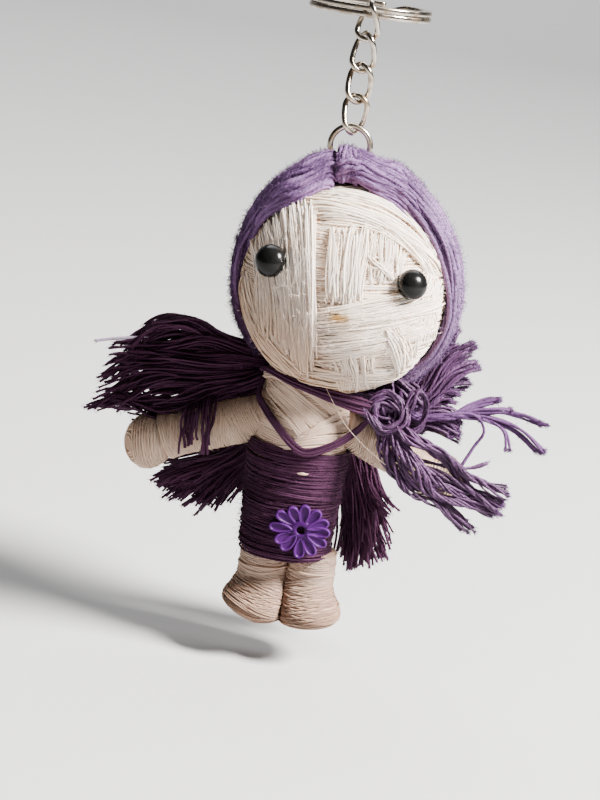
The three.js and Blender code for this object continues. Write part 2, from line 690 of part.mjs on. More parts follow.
// Assembly
addTo(keyRing, "split_key_ring", splitRing(), steel);
for (let i = 0; i < LINK_COUNT; i++) {
  addTo(doll, `chain_link_${i + 1}`, chainLink(i), steel).position.z = firstLinkZ - i * linkPitch;
}
const jumpRing = new THREE.TorusGeometry(jumpMidR, JUMP_WIRE_D / 2, 7, 28).rotateX(Math.PI / 2);
addTo(doll, "jump_ring", jumpRing, steel).position.z = jumpZ;
addTo(doll, "crown_loop", crownLoop(0), purpleString);

addTo(doll, "head_core", headCore(), foam);
addTo(doll, "head_winding", headWinding(), creamString);
addTo(doll, "body_core", bodyCore(), creamString);
addTo(doll, "neck_tie", neckTie(), purpleString);
addTo(doll, "halter_strap", halterStrap(), purpleString);
addTo(doll, "dress_winding", dressWinding(), purpleString);
addTo(doll, "flower_button", flowerButton(), flowerPlastic);
addTo(doll, "arm_wire", armWire(0), coreWire);

for (const [side, label] of [[-1, "left"], [1, "right"]]) {
  addTo(doll, `eye_${label}`, beadEye(side), blackBead);
  addTo(doll, `hair_${label}`, hairHalf(side), purpleHair);
  addTo(doll, `arm_${label}`, armForm(side), creamString);
  addTo(doll, `arm_winding_${label}`, armWinding(`arm_winding_${label}`, side), creamString);
  addTo(doll, `hand_${label}`, handForm(side), creamString);
  addTo(doll, `leg_${label}`, legForm(side, 0).subtract(spineWire(side, REST_GAP)), creamString);
  addTo(doll, `leg_winding_${label}`, legWinding(`leg_winding_${label}`, side), creamString);
  addTo(doll, `foot_${label}`, footForm(side), creamString);
  addTo(doll, `spine_wire_${label}`, spineWire(side, 0), coreWire);
}

const sideways = new THREE.Vector3(0, 1, 0);
addTo(doll, "pigtail_left", bundle(pigtailLeft, PIGTAIL_FLARE, PIGTAIL_T, sideways), purpleHair);
addTo(doll, "pigtail_right", bundle(pigtailRight, PIGTAIL_FLARE, PIGTAIL_T, sideways), purpleHair);
const lowerBundle = bundle(pigtailRightLower, LOWER_FLARE, LOWER_T, sideways);
addTo(doll, "pigtail_right_lower", lowerBundle, purpleHair);
addTo(doll, "pigtail_tie_left", hairTie(pigtailLeft), purpleString);
addTo(doll, "pigtail_tie_right", hairTie(pigtailRight), purpleString);
addTo(doll, "back_hair_left", bundle(backLeft, BACK_FLARE, BACK_T, sideways), purpleHair);
addTo(doll, "back_hair_right", bundle(backRight, BACK_FLARE, BACK_T, sideways), purpleHair);

export default keyRing;
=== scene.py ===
"""The looks of a string doll on a key ring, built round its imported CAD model.

Strings are laid in millimetres in the doll's own frame: the chain hangs on the z axis, the front is -Y,
and left and right are the viewer's. Meshes are in metres, in the frame of the CAD model.
"""

import math

import bmesh
import bpy
import numpy as np
from mathutils import Matrix, Vector, noise


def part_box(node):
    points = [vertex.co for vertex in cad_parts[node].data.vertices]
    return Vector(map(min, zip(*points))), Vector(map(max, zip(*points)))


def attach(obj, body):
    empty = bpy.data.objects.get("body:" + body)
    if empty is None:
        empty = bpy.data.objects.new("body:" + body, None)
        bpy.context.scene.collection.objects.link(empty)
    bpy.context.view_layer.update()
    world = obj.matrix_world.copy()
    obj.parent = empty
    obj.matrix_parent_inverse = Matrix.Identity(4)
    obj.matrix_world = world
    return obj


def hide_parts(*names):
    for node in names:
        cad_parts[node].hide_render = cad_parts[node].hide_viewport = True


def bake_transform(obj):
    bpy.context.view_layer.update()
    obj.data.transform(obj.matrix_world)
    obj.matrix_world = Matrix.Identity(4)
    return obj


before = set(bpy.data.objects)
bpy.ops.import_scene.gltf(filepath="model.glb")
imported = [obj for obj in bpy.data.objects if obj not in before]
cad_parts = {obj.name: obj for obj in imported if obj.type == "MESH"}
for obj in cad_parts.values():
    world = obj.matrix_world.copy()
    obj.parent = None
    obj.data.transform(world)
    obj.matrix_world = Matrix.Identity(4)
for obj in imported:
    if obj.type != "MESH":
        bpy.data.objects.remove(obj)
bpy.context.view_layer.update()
chance = np.random.default_rng(11)
MM = 0.001
TURN = 2 * math.pi


def corners(node):
    """Lowest and highest corner of a CAD node, in millimetres in the doll's frame."""
    low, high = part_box(node)
    return np.array(low) / MM - HANG, np.array(high) / MM - HANG


def middle(node):
    low, high = corners(node)
    return (low + high) / 2


# The chain's axis in the CAD frame, then the doll's main places from the CAD nodes
HANG = np.zeros(3)
HANG = np.array((0.0, middle("jump_ring")[1], 0.0))
HEAD = middle("head_core")
RING_BOTTOM_Z = corners("jump_ring")[0][2] + 0.6
TIE_Z = middle("neck_tie")[2]
DRESS_TOP_Z = corners("dress_winding")[1][2] + 0.3
HEM_Z = corners("dress_winding")[0][2]
LEG_BOTTOM_Z = corners("leg_left")[0][2]
FEET_BOTTOM_Z = corners("foot_left")[0][2]

# Camera, in millimetres in the CAD frame
CAMERA_AT = (-2.4, -461.7, 24.0)
CAMERA_TILT_DEG = 13
CAMERA_ROLL_DEG = 8.5
CAMERA_LENS = 101.25
CAMERA_SENSOR = 36

# Strings
STRING_R = 0.2
STRING_STEP = 0.29  # from one laid string to the next
FACE_STRING_R = 0.155
BASE_STRING_R = 0.2
YARN_R = 0.46  # the thicker yarn of the hair
STRAND_R = 0.31  # a loose strand of a pigtail
FIBRE_R = 0.03
LOOSE_FIBRE_R = 0.045  # a fibre of the hair's yarn
ROUND_SIDES = 1  # bevel resolution of the hair's yarn, six sides
FINE_SIDES = 0  # bevel resolution of fine strings and fibres, four sides

# Head
BALL_R = 20.5
BASE_R = 20.85
BEAD_OUT = 23.0  # from the middle of the head to the middle of a bead
BEAD_SHANK_R = 0.9
BEAD_SHANK = 2.5

# Hair
HAIR_R = 23.0
HAIR_TOP_R = 26.0  # about where the hair lies on the crown
RING_HALF_W = 4.6
RING_WIRE_R = 0.6
LINK_WIRE_R = 0.56

# Body
CHEST_HALF_W = 9.7
NECK_HALF_W = 8.9
HEM_HALF_W = 8.6
DEPTH_RATIO = 0.94
BODY_X = -1.2

# Limbs
ARM_ROOT_Z = -80.5
ARM_DROOP_DEG = 21
ARM_R = 4.7
HAND_MIDDLE = {-1: 34.4, 1: 30.2}
HAND_HALF_SIZES = {-1: (4.9, 4.9, 5.5), 1: (5.4, 4.7, 4.9)}
LEG_X = 5.0
LEG_R = 5.05
TOE_OUT_DEG = 14

# A foot from its sole up to the ankle: shares of the way up, half width, reach of the toe and of the heel
FOOT_H = 10.4
FOOT_LEVELS = (0.0, 0.1, 0.28, 0.5, 0.72, 1.0)
FOOT_HALF_W = (5.3, 6.4, 6.7, 5.8, 5.05, 5.05)
FOOT_TOE = (8.6, 10.2, 10.4, 7.9, 5.5, 5.05)
FOOT_HEEL = (3.8, 4.6, 4.9, 5.0, 5.05, 5.05)
FOOT_INNER_W = 5.15
FOOT_TIP_UP = {-1: 0.26, 1: 0.08}


# Small tools for paths
def unit(vectors):
    vectors = np.asarray(vectors, float)
    return vectors / np.linalg.norm(vectors, axis=-1, keepdims=True)


def ease(value, low, high):
    t = np.clip((value - low) / (high - low), 0, 1)
    return t * t * (3 - 2 * t)


def even_steps(path, count):
    """The same path in steps of even length."""
    gone = np.concatenate(([0], np.cumsum(np.linalg.norm(np.diff(path, axis=0), axis=1))))
    at = np.linspace(0, gone[-1], count)
    return np.column_stack([np.interp(at, gone, path[:, k]) for k in range(3)])


def smooth_path(knots, count):
    """A smooth path through a few knots, in even steps."""
    knots = np.asarray(knots, float)
    held = np.vstack((2 * knots[0] - knots[1], knots, 2 * knots[-1] - knots[-2]))
    t = np.linspace(0, len(knots) - 1, 8 * count)
    i = np.minimum(t.astype(int), len(knots) - 2)
    f = (t - i)[:, None]
    a, b, c, d = held[i], held[i + 1], held[i + 2], held[i + 3]
    bend = 2 * b + (c - a) * f + (2 * a - 5 * b + 4 * c - d) * f**2 + (3 * b - a - 3 * c + d) * f**3
    return even_steps(bend / 2, count)


def sway(count, size, closed=False):
    """A slow random drift for a strand's points."""
    turn = np.linspace(0, TURN, count, endpoint=not closed)[:, None]
    drift = np.zeros((count, 3))
    for waves in (1, 2, 3):
        start = chance.uniform(0, TURN, 3)
        drift += chance.uniform(-size, size, 3) / waves * np.sin(waves * turn + start)
    return drift


def across_of(axis):
    """Two directions square to an axis and to each other."""
    axis = unit(axis)
    helper = np.array((0.0, 1.0, 0.0)) if abs(axis[1]) < 0.8 else np.array((1.0, 0.0, 0.0))
    first = unit(np.cross(axis, helper))
    return first, np.cross(axis, first)


def ring_path(centre, axis, radius, count, squash=1.0):
    """A closed ring round an axis."""
    first, second = across_of(axis)
    turn = np.linspace(0, TURN, count, endpoint=False)[:, None]
    return np.asarray(centre) + radius * (np.cos(turn) * first + squash * np.sin(turn) * second)


# Strands: each is a path in millimetres with a radius, a tone from 0 dark to 1 light, and closed or open
def strand(points, radius, closed=False, tone=None):
    points = np.asarray(points, float)
    radii = np.broadcast_to(np.asarray(radius, float), len(points)).copy()
    tone = chance.uniform(0, 1) if tone is None else tone
    return {"points": points, "radii": radii, "closed": closed, "tone": float(tone)}


def with_ends(points, radii):
    """Closes both ends of an open strand with a low dome, unless it runs out to a point."""
    if radii[0] == 0:
        return points, radii
    first = points[0] + 0.3 * radii[0] * unit(points[0] - points[1])
    last = points[-1] + 0.3 * radii[-1] * unit(points[-1] - points[-2])
    return np.vstack((first, points, last)), np.concatenate(([0], radii, [0]))


def path_length(points, closed):
    shifted = np.roll(points, -1, axis=0) if closed else points[1:]
    from_points = points if closed else points[:-1]
    return np.linalg.norm(shifted - from_points, axis=1).sum()


def string_mesh(name, strands, sides=FINE_SIDES):
    """One mesh of round strings, with its length in millimetres along U and a tone for each string."""
    curve = bpy.data.curves.new(name, "CURVE")
    curve.dimensions = "3D"
    curve.bevel_depth = MM
    curve.bevel_resolution = sides
    ring = 4 + 2 * sides
    counts, lengths, tones = [], [], []
    for one in strands:
        points, radii = one["points"], one["radii"]
        if not one["closed"]:
            points, radii = with_ends(points, radii)
        spline = curve.splines.new("POLY")
        spline.points.add(len(points) - 1)
        placed = np.column_stack(((points + HANG) * MM, np.ones(len(points))))
        spline.points.foreach_set("co", placed.ravel())
        spline.points.foreach_set("radius", radii)
        spline.use_cyclic_u = one["closed"]
        counts.append(len(points) * ring)
        lengths.append(path_length(points, one["closed"]))
        tones.append(one["tone"])
    guide = bpy.data.objects.new(name + "_guide", curve)
    bpy.context.scene.collection.objects.link(guide)
    depsgraph = bpy.context.evaluated_depsgraph_get()
    mesh = bpy.data.meshes.new_from_object(guide.evaluated_get(depsgraph))
    bpy.data.objects.remove(guide)
    bpy.data.curves.remove(curve)
    mesh.name = name
    owner = np.repeat(np.arange(len(strands)), counts)
    tone = mesh.attributes.new("tone", "FLOAT", "POINT")
    tone.data.foreach_set("value", np.array(tones, np.float32)[owner])
    corner_vertex = np.empty(len(mesh.loops), np.int32)
    mesh.loops.foreach_get("vertex_index", corner_vertex)
    uv = np.empty(2 * len(mesh.loops), np.float32)
    mesh.uv_layers[0].uv.foreach_get("vector", uv)
    uv[0::2] *= np.array(lengths, np.float32)[owner[corner_vertex]]
    mesh.uv_layers[0].uv.foreach_set("vector", uv)
    closing = bmesh.new()
    closing.from_mesh(mesh)
    bmesh.ops.remove_doubles(closing, verts=closing.verts, dist=1e-8)
    closing.to_mesh(mesh)
    closing.free()
    return mesh


def show(name, mesh, material, body="doll", replaced=()):
    """Puts a finished mesh in the scene as a piece of the doll."""
    piece = bpy.data.objects.new(name, mesh)
    bpy.context.scene.collection.objects.link(piece)
    mesh.materials.clear()
    mesh.materials.append(material)
    if body:
        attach(piece, body)
    if replaced:
        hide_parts(*replaced)
    return piece


def string_piece(name, strands, material, replaced=(), sides=FINE_SIDES, body="doll"):
    return show(name, string_mesh(name, strands, sides), material, body, replaced)


def mesh_of(shape, name):
    """A bmesh made in millimetres in the doll's frame, as a smooth mesh in its place."""
    bmesh.ops.translate(shape, verts=shape.verts, vec=HANG)
    bmesh.ops.scale(shape, verts=shape.verts, vec=(MM, MM, MM))
    bmesh.ops.recalc_face_normals(shape, faces=shape.faces)
    for face in shape.faces:
        face.smooth = True
    mesh = bpy.data.meshes.new(name)
    shape.to_mesh(mesh)
    shape.free()
    return mesh


def turned(profile, steps):
    """A form turned round the z axis from (radius, z) pairs that start and end on the axis."""
    shape = bmesh.new()
    points = [shape.verts.new((r, 0, z)) for r, z in profile]
    edges = [shape.edges.new(pair) for pair in zip(points, points[1:])]
    bmesh.ops.spin(
        shape, geom=points + edges, cent=(0, 0, 0), axis=(0, 0, 1), angle=TURN, steps=steps, use_merge=True)
    bmesh.ops.remove_doubles(shape, verts=shape.verts, dist=1e-4)
    return shape


# Shader nodes
def node(tree, kind, feeds=None, **settings):
    """A shader node with its settings, and its inputs set or linked."""
    made = tree.nodes.new("ShaderNode" + kind)
    for key, value in settings.items():
        setattr(made, key, value)
    for key, value in (feeds or {}).items():
        if isinstance(value, bpy.types.NodeSocket):
            tree.links.new(value, made.inputs[key])
        else:
            made.inputs[key].default_value = value
    return made


def calc(tree, operation, *terms, clamp=False):
    made = node(tree, "Math", dict(enumerate(terms)), operation=operation, use_clamp=clamp)
    return made.outputs[0]


def blend(tree, share, first, second, way="MIX"):
    made = node(tree, "Mix", {0: share, 6: first, 7: second}, data_type="RGBA", blend_type=way)
    return made.outputs[2]


def span(tree, value, low, high, to_low=0.0, to_high=1.0):
    feeds = {"Value": value, "From Min": low, "From Max": high, "To Min": to_low, "To Max": to_high}
    return node(tree, "MapRange", feeds, interpolation_type="SMOOTHSTEP").outputs[0]


def string_group():
    """Twisted string: three plies, fibres that follow the twist, and a tone for each string."""
    group = bpy.data.node_groups.new("twisted_string", "ShaderNodeTree")
    for name in ("Groove Shade", "Yarn", "Bloom"):
        group.interface.new_socket(name, in_out="INPUT", socket_type="NodeSocketColor")
    for name in ("Pitch", "Ply Depth", "Tone Share", "Patch Scale"):
        group.interface.new_socket(name, in_out="INPUT", socket_type="NodeSocketFloat")
    group.interface.new_socket("Color", in_out="OUTPUT", socket_type="NodeSocketColor")
    for name in ("Roughness", "Height"):
        group.interface.new_socket(name, in_out="OUTPUT", socket_type="NodeSocketFloat")
    given = group.nodes.new("NodeGroupInput").outputs
    result = group.nodes.new("NodeGroupOutput").inputs
    along = node(group, "SeparateXYZ", {0: node(group, "UVMap", uv_map="UVMap").outputs[0]}).outputs
    tone = node(group, "Attribute", attribute_name="tone").outputs["Fac"]
    turns = calc(group, "ADD", calc(group, "DIVIDE", along[0], given["Pitch"]), along[1])
    crest = calc(group, "ABSOLUTE", calc(group, "SINE", calc(group, "MULTIPLY", turns, 3 * math.pi)))
    plies = calc(group, "MULTIPLY_ADD", calc(group, "SUBTRACT", crest, 1.0), given["Ply Depth"], 1.0)
    angle = calc(group, "MULTIPLY", turns, TURN)
    around = node(group, "CombineXYZ", {
        0: calc(group, "MULTIPLY", calc(group, "COSINE", angle), 4.0),
        1: calc(group, "MULTIPLY", calc(group, "SINE", angle), 4.0),
        2: calc(group, "MULTIPLY", along[0], 0.7),
    }).outputs[0]
    fibres = node(group, "TexNoise", {
        "Vector": around, "W": calc(group, "MULTIPLY", tone, 57.0), "Scale": 1.1, "Detail": 4.0,
        "Roughness": 0.65,
    }, noise_dimensions="4D").outputs["Fac"]
    place = node(group, "TexCoord").outputs["Object"]
    patches = node(group, "TexNoise", {"Vector": place, "Scale": given["Patch Scale"], "Detail": 2.0})
    patch = patches.outputs["Fac"]
    # Painted shade: the groove colour darkens the grooves between the plies, mixed with the fibres' own tone
    light = calc(group, "MULTIPLY_ADD", plies, 0.5, calc(group, "MULTIPLY", fibres, 0.7))
    deep = blend(group, span(group, light, 0.2, 0.8), given["Groove Shade"], given["Yarn"])
    flecks = span(group, fibres, 0.42, 0.78, 0.0, 0.5)
    lifted = calc(group, "MULTIPLY_ADD", tone, given["Tone Share"], flecks)
    lifted = calc(group, "MULTIPLY", lifted, span(group, patch, 0.3, 0.7, 0.4, 1.15), clamp=True)
    group.links.new(blend(group, lifted, deep, given["Bloom"]), result["Color"])
    group.links.new(span(group, fibres, 0.3, 0.7, 0.70, 0.95), result["Roughness"])
    height = calc(group, "MULTIPLY_ADD", plies, 0.7, calc(group, "MULTIPLY", fibres, 0.6))
    group.links.new(height, result["Height"])
    return group


TWISTED_STRING = string_group()


def new_material(name, **constants):
    """A material with its Principled shader, whose plain values are set on the shader itself."""
    material = bpy.data.materials.new(name)
    material.use_nodes = True
    shader = material.node_tree.nodes["Principled BSDF"]
    for key, value in constants.items():
        shader.inputs[key.replace("_", " ")].default_value = value
    return material, material.node_tree, shader


def bump(tree, shader, height, strength, distance):
    made = node(tree, "Bump", {"Height": height, "Strength": strength, "Distance": distance})
    tree.links.new(made.outputs[0], shader.inputs["Normal"])


def string_material(name, colours, pitch, ply_depth, tone_share, sheen, relief, gloss=0.15, polish=1.0,
                    glow=0.0):
    """Twisted string in one family of colours: its grooves, its yarn and its lightest fibres."""
    material, tree, shader = new_material(
        name, Sheen_Weight=sheen, Sheen_Roughness=0.45, Specular_IOR_Level=gloss, Subsurface_Weight=glow,
        Subsurface_Scale=0.0016)
    shader.inputs["Subsurface Radius"].default_value = (1.0, 0.75, 0.55)
    shader.inputs["Sheen Tint"].default_value = (*colours[2], 1)
    tint = 0.5 + 0.5 * np.array(colours[2]) / max(colours[2])
    shader.inputs["Specular Tint"].default_value = (*tint, 1)
    lay = tree.nodes.new("ShaderNodeGroup")
    lay.node_tree = TWISTED_STRING
    for key, colour in zip(("Groove Shade", "Yarn", "Bloom"), colours):
        lay.inputs[key].default_value = (*colour, 1)
    lay.inputs["Pitch"].default_value = pitch
    lay.inputs["Ply Depth"].default_value = ply_depth
    lay.inputs["Tone Share"].default_value = tone_share
    lay.inputs["Patch Scale"].default_value = 150.0
    tree.links.new(lay.outputs["Color"], shader.inputs["Base Color"])
    tree.links.new(calc(tree, "MULTIPLY", lay.outputs["Roughness"], polish), shader.inputs["Roughness"])
    bump(tree, shader, lay.outputs["Height"], relief, 0.00018)
    return material, tree, shader, lay


# Colours of each string: the painted shade in its grooves, its yarn and its lightest fibres
HEAD_COLOURS = ((0.60, 0.41, 0.295), (0.80, 0.60, 0.46), (0.95, 0.86, 0.76))
HEAD_SHADE = (0.50, 0.385, 0.32)
HEAD_LIT_SIDE = (0.62, 0.0, 0.78)
CREAM_COLOURS = ((0.30, 0.19, 0.135), (0.40, 0.268, 0.195), (0.53, 0.39, 0.30))
# The cream string again, lighter on the chest: painted light
CHEST_LIT_COLOURS = ((0.40, 0.25, 0.175), (0.53, 0.355, 0.26), (0.68, 0.50, 0.39))
# The cream string again, darker on the legs and feet: painted shade
LEG_SHADED_COLOURS = ((0.27, 0.172, 0.126), (0.36, 0.24, 0.179), (0.461, 0.333, 0.257))
FOOT_SHADE = (0.52, 0.46, 0.44)
FOOT_SHADE_DEPTH = 0.0055  # in metres, from the ankle down to the full shade
BROWN_SPOT = (0.36, 0.165, 0.03)
PLUM_COLOURS = ((0.0035, 0.001, 0.003), (0.0215, 0.0055, 0.0165), (0.068, 0.0245, 0.056))
VIOLET_COLOURS = ((0.002, 0.0007, 0.0025), (0.0145, 0.0042, 0.0162), (0.108, 0.047, 0.12))
LILAC_COLOURS = ((0.006, 0.002, 0.008), (0.036, 0.014, 0.047), (0.15, 0.072, 0.185))
HAIR_COLOURS = ((0.006, 0.0022, 0.008), (0.044, 0.018, 0.059), (0.23, 0.128, 0.285))
HAIR_FLECK_AND_LIGHT = (0.46, 0.32, 0.53)
PALE_COLOURS = ((0.16, 0.09, 0.19), (0.34, 0.24, 0.38), (0.62, 0.52, 0.67))

# How each kind of string is twisted and how it takes the light
COTTON = {"pitch": 2.6, "ply_depth": 0.2, "tone_share": 0.45, "sheen": 0.15, "relief": 0.2, "glow": 0.35}
HEAD_COTTON = {**COTTON, "tone_share": 0.5, "sheen": 0.2, "glow": 0.5}
FOOT_COTTON = {**COTTON, "sheen": 0.03, "gloss": 0.06}
DRESS_COTTON = {"pitch": 2.4, "ply_depth": 0.6, "tone_share": 0.5, "sheen": 0.04, "relief": 0.6}
HAIR_YARN = {"pitch": 3.0, "ply_depth": 0.6, "tone_share": 0.65, "sheen": 0.1, "relief": 0.9}
LOOSE_YARN = {"pitch": 2.8, "ply_depth": 0.6, "tone_share": 0.6, "sheen": 0.08, "relief": 0.8}
SHINY_YARN = {**LOOSE_YARN, "sheen": 0.03, "gloss": 0.3, "polish": 0.5}


def head_string_material():
    """Cream string with painted shade towards the lower left, and a small brown spot in the middle of the
    face.
    """
    material, tree, shader, lay = string_material("head_string", HEAD_COLOURS, **HEAD_COTTON)
    dab = (HEAD + HANG + np.array((-0.4, -21.2, -1.8))) * MM
    place = node(tree, "TexCoord").outputs["Object"]
    size = (370.0, 150.0, 760.0)
    centred = node(tree, "Mapping", {
        "Vector": place, "Location": tuple(-dab * np.array(size)), "Scale": size})
    ragged = node(tree, "TexNoise", {"Vector": place, "Scale": 1100.0, "Detail": 3.0}).outputs["Fac"]
    reach = node(tree, "VectorMath", {0: centred.outputs[0]}, operation="LENGTH").outputs["Value"]
    reach = calc(tree, "ADD", reach, calc(tree, "MULTIPLY", ragged, 0.9))
    stain = span(tree, reach, 0.6, 1.9, 0.95, 0.0)
    # Painted shade: darker away from the lit upper right of the head
    toward = node(tree, "VectorMath", {0: place, 1: HEAD_LIT_SIDE}, operation="DOT_PRODUCT").outputs["Value"]
    level = float(np.dot(HEAD_LIT_SIDE, HEAD + HANG)) * MM
    shaded = span(tree, toward, level + 0.004, level - 0.018)
    colour = blend(tree, shaded, lay.outputs["Color"], (*HEAD_SHADE, 1), "MULTIPLY")
    colour = blend(tree, stain, colour, (*BROWN_SPOT, 1))
    tree.links.new(colour, shader.inputs["Base Color"])
    return material


def foot_material():
    """The string of the legs, with painted shade from the ankle down to the toes."""
    material, tree, shader, lay = string_material("foot_string", LEG_SHADED_COLOURS, **FOOT_COTTON)
    place = node(tree, "TexCoord").outputs["Object"]
    height = node(tree, "SeparateXYZ", {0: place}).outputs[2]
    ankle = (FEET_BOTTOM_Z + FOOT_H) * MM
    # Painted shade, growing from the ankle down to the toes
    lower = span(tree, height, ankle, ankle - FOOT_SHADE_DEPTH)
    colour = blend(tree, lower, lay.outputs["Color"], (*FOOT_SHADE, 1), "MULTIPLY")
    tree.links.new(colour, shader.inputs["Base Color"])
    return material


def hair_material():
    """Purple yarn with pale fibres, painted light on the right, painted shade where the left pigtail starts.
    """
    material, tree, shader, lay = string_material("purple_hair", HAIR_COLOURS, **HAIR_YARN)
    place = node(tree, "TexCoord").outputs["Object"]
    apart = node(tree, "SeparateXYZ", {0: place})
    fleck = node(tree, "TexNoise", {"Vector": place, "Scale": 3200.0, "Detail": 2.0}).outputs["Fac"]
    flecked_and_lit = blend(tree, span(tree, fleck, 0.6, 0.76, 0.0, 0.42), lay.outputs["Color"], (*HAIR_FLECK_AND_LIGHT, 1))
    # Painted shade: low on the left the yarn is blended toward the dark plum colour
    low = span(tree, apart.outputs[2], -0.048, -0.068)
    left = span(tree, apart.outputs[0], -0.004, -0.016, 0.0, 0.85)
    dark = calc(tree, "MULTIPLY", low, left)
    # Painted light: the right side is blended toward the pale fleck colour
    painted_light = span(tree, apart.outputs[0], 0.008, 0.021, 0.0, 0.11)
    flecked_and_lit = blend(tree, painted_light, flecked_and_lit, (*HAIR_FLECK_AND_LIGHT, 1))
    tree.links.new(blend(tree, dark, flecked_and_lit, (*PLUM_COLOURS[1], 1)), shader.inputs["Base Color"])
    return material


def nickel_material():
    """Bright nickel with fine draw marks and a warm cast in places."""
    material, tree, shader = new_material("nickel_steel", Metallic=1.0)
    place = node(tree, "TexCoord").outputs["Object"]
    patches = node(tree, "TexNoise", {"Vector": place, "Scale": 420.0, "Detail": 5.0}).outputs["Fac"]
    marks = node(tree, "TexNoise", {"Vector": place, "Scale": 3500.0, "Detail": 2.0}).outputs["Fac"]
    warm = span(tree, patches, 0.4, 0.68)
    colour = blend(tree, warm, (0.43, 0.385, 0.33, 1), (0.25, 0.19, 0.13, 1))
    tree.links.new(colour, shader.inputs["Base Color"])
    tree.links.new(span(tree, patches, 0.35, 0.7, 0.16, 0.34), shader.inputs["Roughness"])
    bump(tree, shader, marks, 0.12, 0.00005)
    return material


def bead_material():
    """Black bead with a soft shine and faint handling marks."""
    material, tree, shader = new_material("black_bead", Specular_IOR_Level=0.14)
    place = node(tree, "TexCoord").outputs["Object"]
    haze = node(tree, "TexNoise", {"Vector": place, "Scale": 700.0, "Detail": 4.0}).outputs["Fac"]
    colour = blend(tree, haze, (0.002, 0.002, 0.002, 1), (0.006, 0.006, 0.006, 1))
    tree.links.new(colour, shader.inputs["Base Color"])
    tree.links.new(span(tree, haze, 0.35, 0.75, 0.16, 0.26), shader.inputs["Roughness"])
    bump(tree, shader, haze, 0.05, 0.00004)
    return material


def flower_material():
    """Clear purple plastic, with painted light on the raised rims and painted shade in the cups."""
    material, tree, shader = new_material("purple_plastic", IOR=1.49, Specular_IOR_Level=0.07)
    place = node(tree, "TexCoord").outputs["Object"]
    cloud = node(tree, "TexNoise", {"Vector": place, "Scale": 330.0, "Detail": 3.0}).outputs["Fac"]
    rim = node(tree, "Attribute", attribute_name="rim").outputs["Fac"]
    deep = blend(tree, cloud, (0.018, 0.0022, 0.034, 1), (0.04, 0.0062, 0.07, 1))
    # Painted light and shade: lighter on the raised rims, darker in the cups
    tree.links.new(blend(tree, rim, deep, (0.047, 0.0085, 0.082, 1)), shader.inputs["Base Color"])
    tree.links.new(span(tree, cloud, 0.3, 0.7, 0.3, 0.5), shader.inputs["Roughness"])
    bump(tree, shader, cloud, 0.2, 0.0001)
    return material


def pad_material(name, dark, pale):
    """The wadding under the strings, mottled from their painted groove shade to their yarn colour."""
    material, tree, shader = new_material(name, Specular_IOR_Level=0.05)
    place = node(tree, "TexCoord").outputs["Object"]
    tuft = node(tree, "TexNoise", {"Vector": place, "Scale": 900.0, "Detail": 4.0}).outputs["Fac"]
    # Painted shade: the darker colour is the strings' groove shade, for the shaded gaps between strings
    tree.links.new(blend(tree, tuft, (*dark, 1), (*pale, 1)), shader.inputs["Base Color"])
    tree.links.new(span(tree, tuft, 0.3, 0.7, 0.8, 0.97), shader.inputs["Roughness"])
    bump(tree, shader, tuft, 0.5, 0.0002)
    return material


def wire_material():
    """Dull iron wire inside the limbs."""
    material, tree, shader = new_material("core_wire", Metallic=0.9)
    place = node(tree, "TexCoord").outputs["Object"]
    dull = node(tree, "TexNoise", {"Vector": place, "Scale": 800.0, "Detail": 4.0}).outputs["Fac"]
    colour = blend(tree, dull, (0.20, 0.19, 0.18, 1), (0.34, 0.32, 0.30, 1))
    tree.links.new(colour, shader.inputs["Base Color"])
    tree.links.new(span(tree, dull, 0.3, 0.7, 0.4, 0.65), shader.inputs["Roughness"])
    return material


CREAM, *_ = string_material("cream_string", CREAM_COLOURS, **COTTON)
CHEST_STRING, *_ = string_material("chest_string", CHEST_LIT_COLOURS, **COTTON)
LEG_STRING, *_ = string_material("leg_string", LEG_SHADED_COLOURS, **COTTON)
FOOT_STRING = foot_material()
PLUM, *_ = string_material("plum_string", PLUM_COLOURS, **DRESS_COTTON)
HAIR = hair_material()
VIOLET, *_ = string_material("violet_string", VIOLET_COLOURS, **SHINY_YARN)
PALE, *_ = string_material("pale_string", PALE_COLOURS, **LOOSE_YARN)
LILAC, *_ = string_material("lilac_string", LILAC_COLOURS, **LOOSE_YARN)
HEAD_STRING = head_string_material()
NICKEL = nickel_material()
BEAD = bead_material()
FLOWER = flower_material()
CREAM_PAD = pad_material("cream_wadding", *CREAM_COLOURS[:2])
LEG_PAD = pad_material("leg_wadding", *LEG_SHADED_COLOURS[:2])
HEAD_PAD = pad_material("head_wadding", *HEAD_COLOURS[:2])
HAIR_PAD = pad_material("purple_wadding", *HAIR_COLOURS[:2])
WIRE = wire_material()


# Camera
def make_camera():
    tilt = math.radians(CAMERA_TILT_DEG)
    roll = math.radians(CAMERA_ROLL_DEG)
    forward = Vector((0, math.cos(tilt), -math.sin(tilt)))
    level_up = Vector((1, 0, 0)).cross(forward)
    right = math.cos(roll) * Vector((1, 0, 0)) + math.sin(roll) * level_up
    up = math.cos(roll) * level_up - math.sin(roll) * Vector((1, 0, 0))
    data = bpy.data.cameras.new("camera")
    data.lens = CAMERA_LENS
    data.sensor_fit = "VERTICAL"
    data.sensor_height = CAMERA_SENSOR
    data.sensor_width = CAMERA_SENSOR
    camera = bpy.data.objects.new("camera", data)
    bpy.context.scene.collection.objects.link(camera)
    turn = Matrix((right, up, -forward)).transposed().to_4x4()
    camera.matrix_world = Matrix.Translation(Vector(CAMERA_AT) * MM) @ turn
    bpy.context.scene.camera = camera


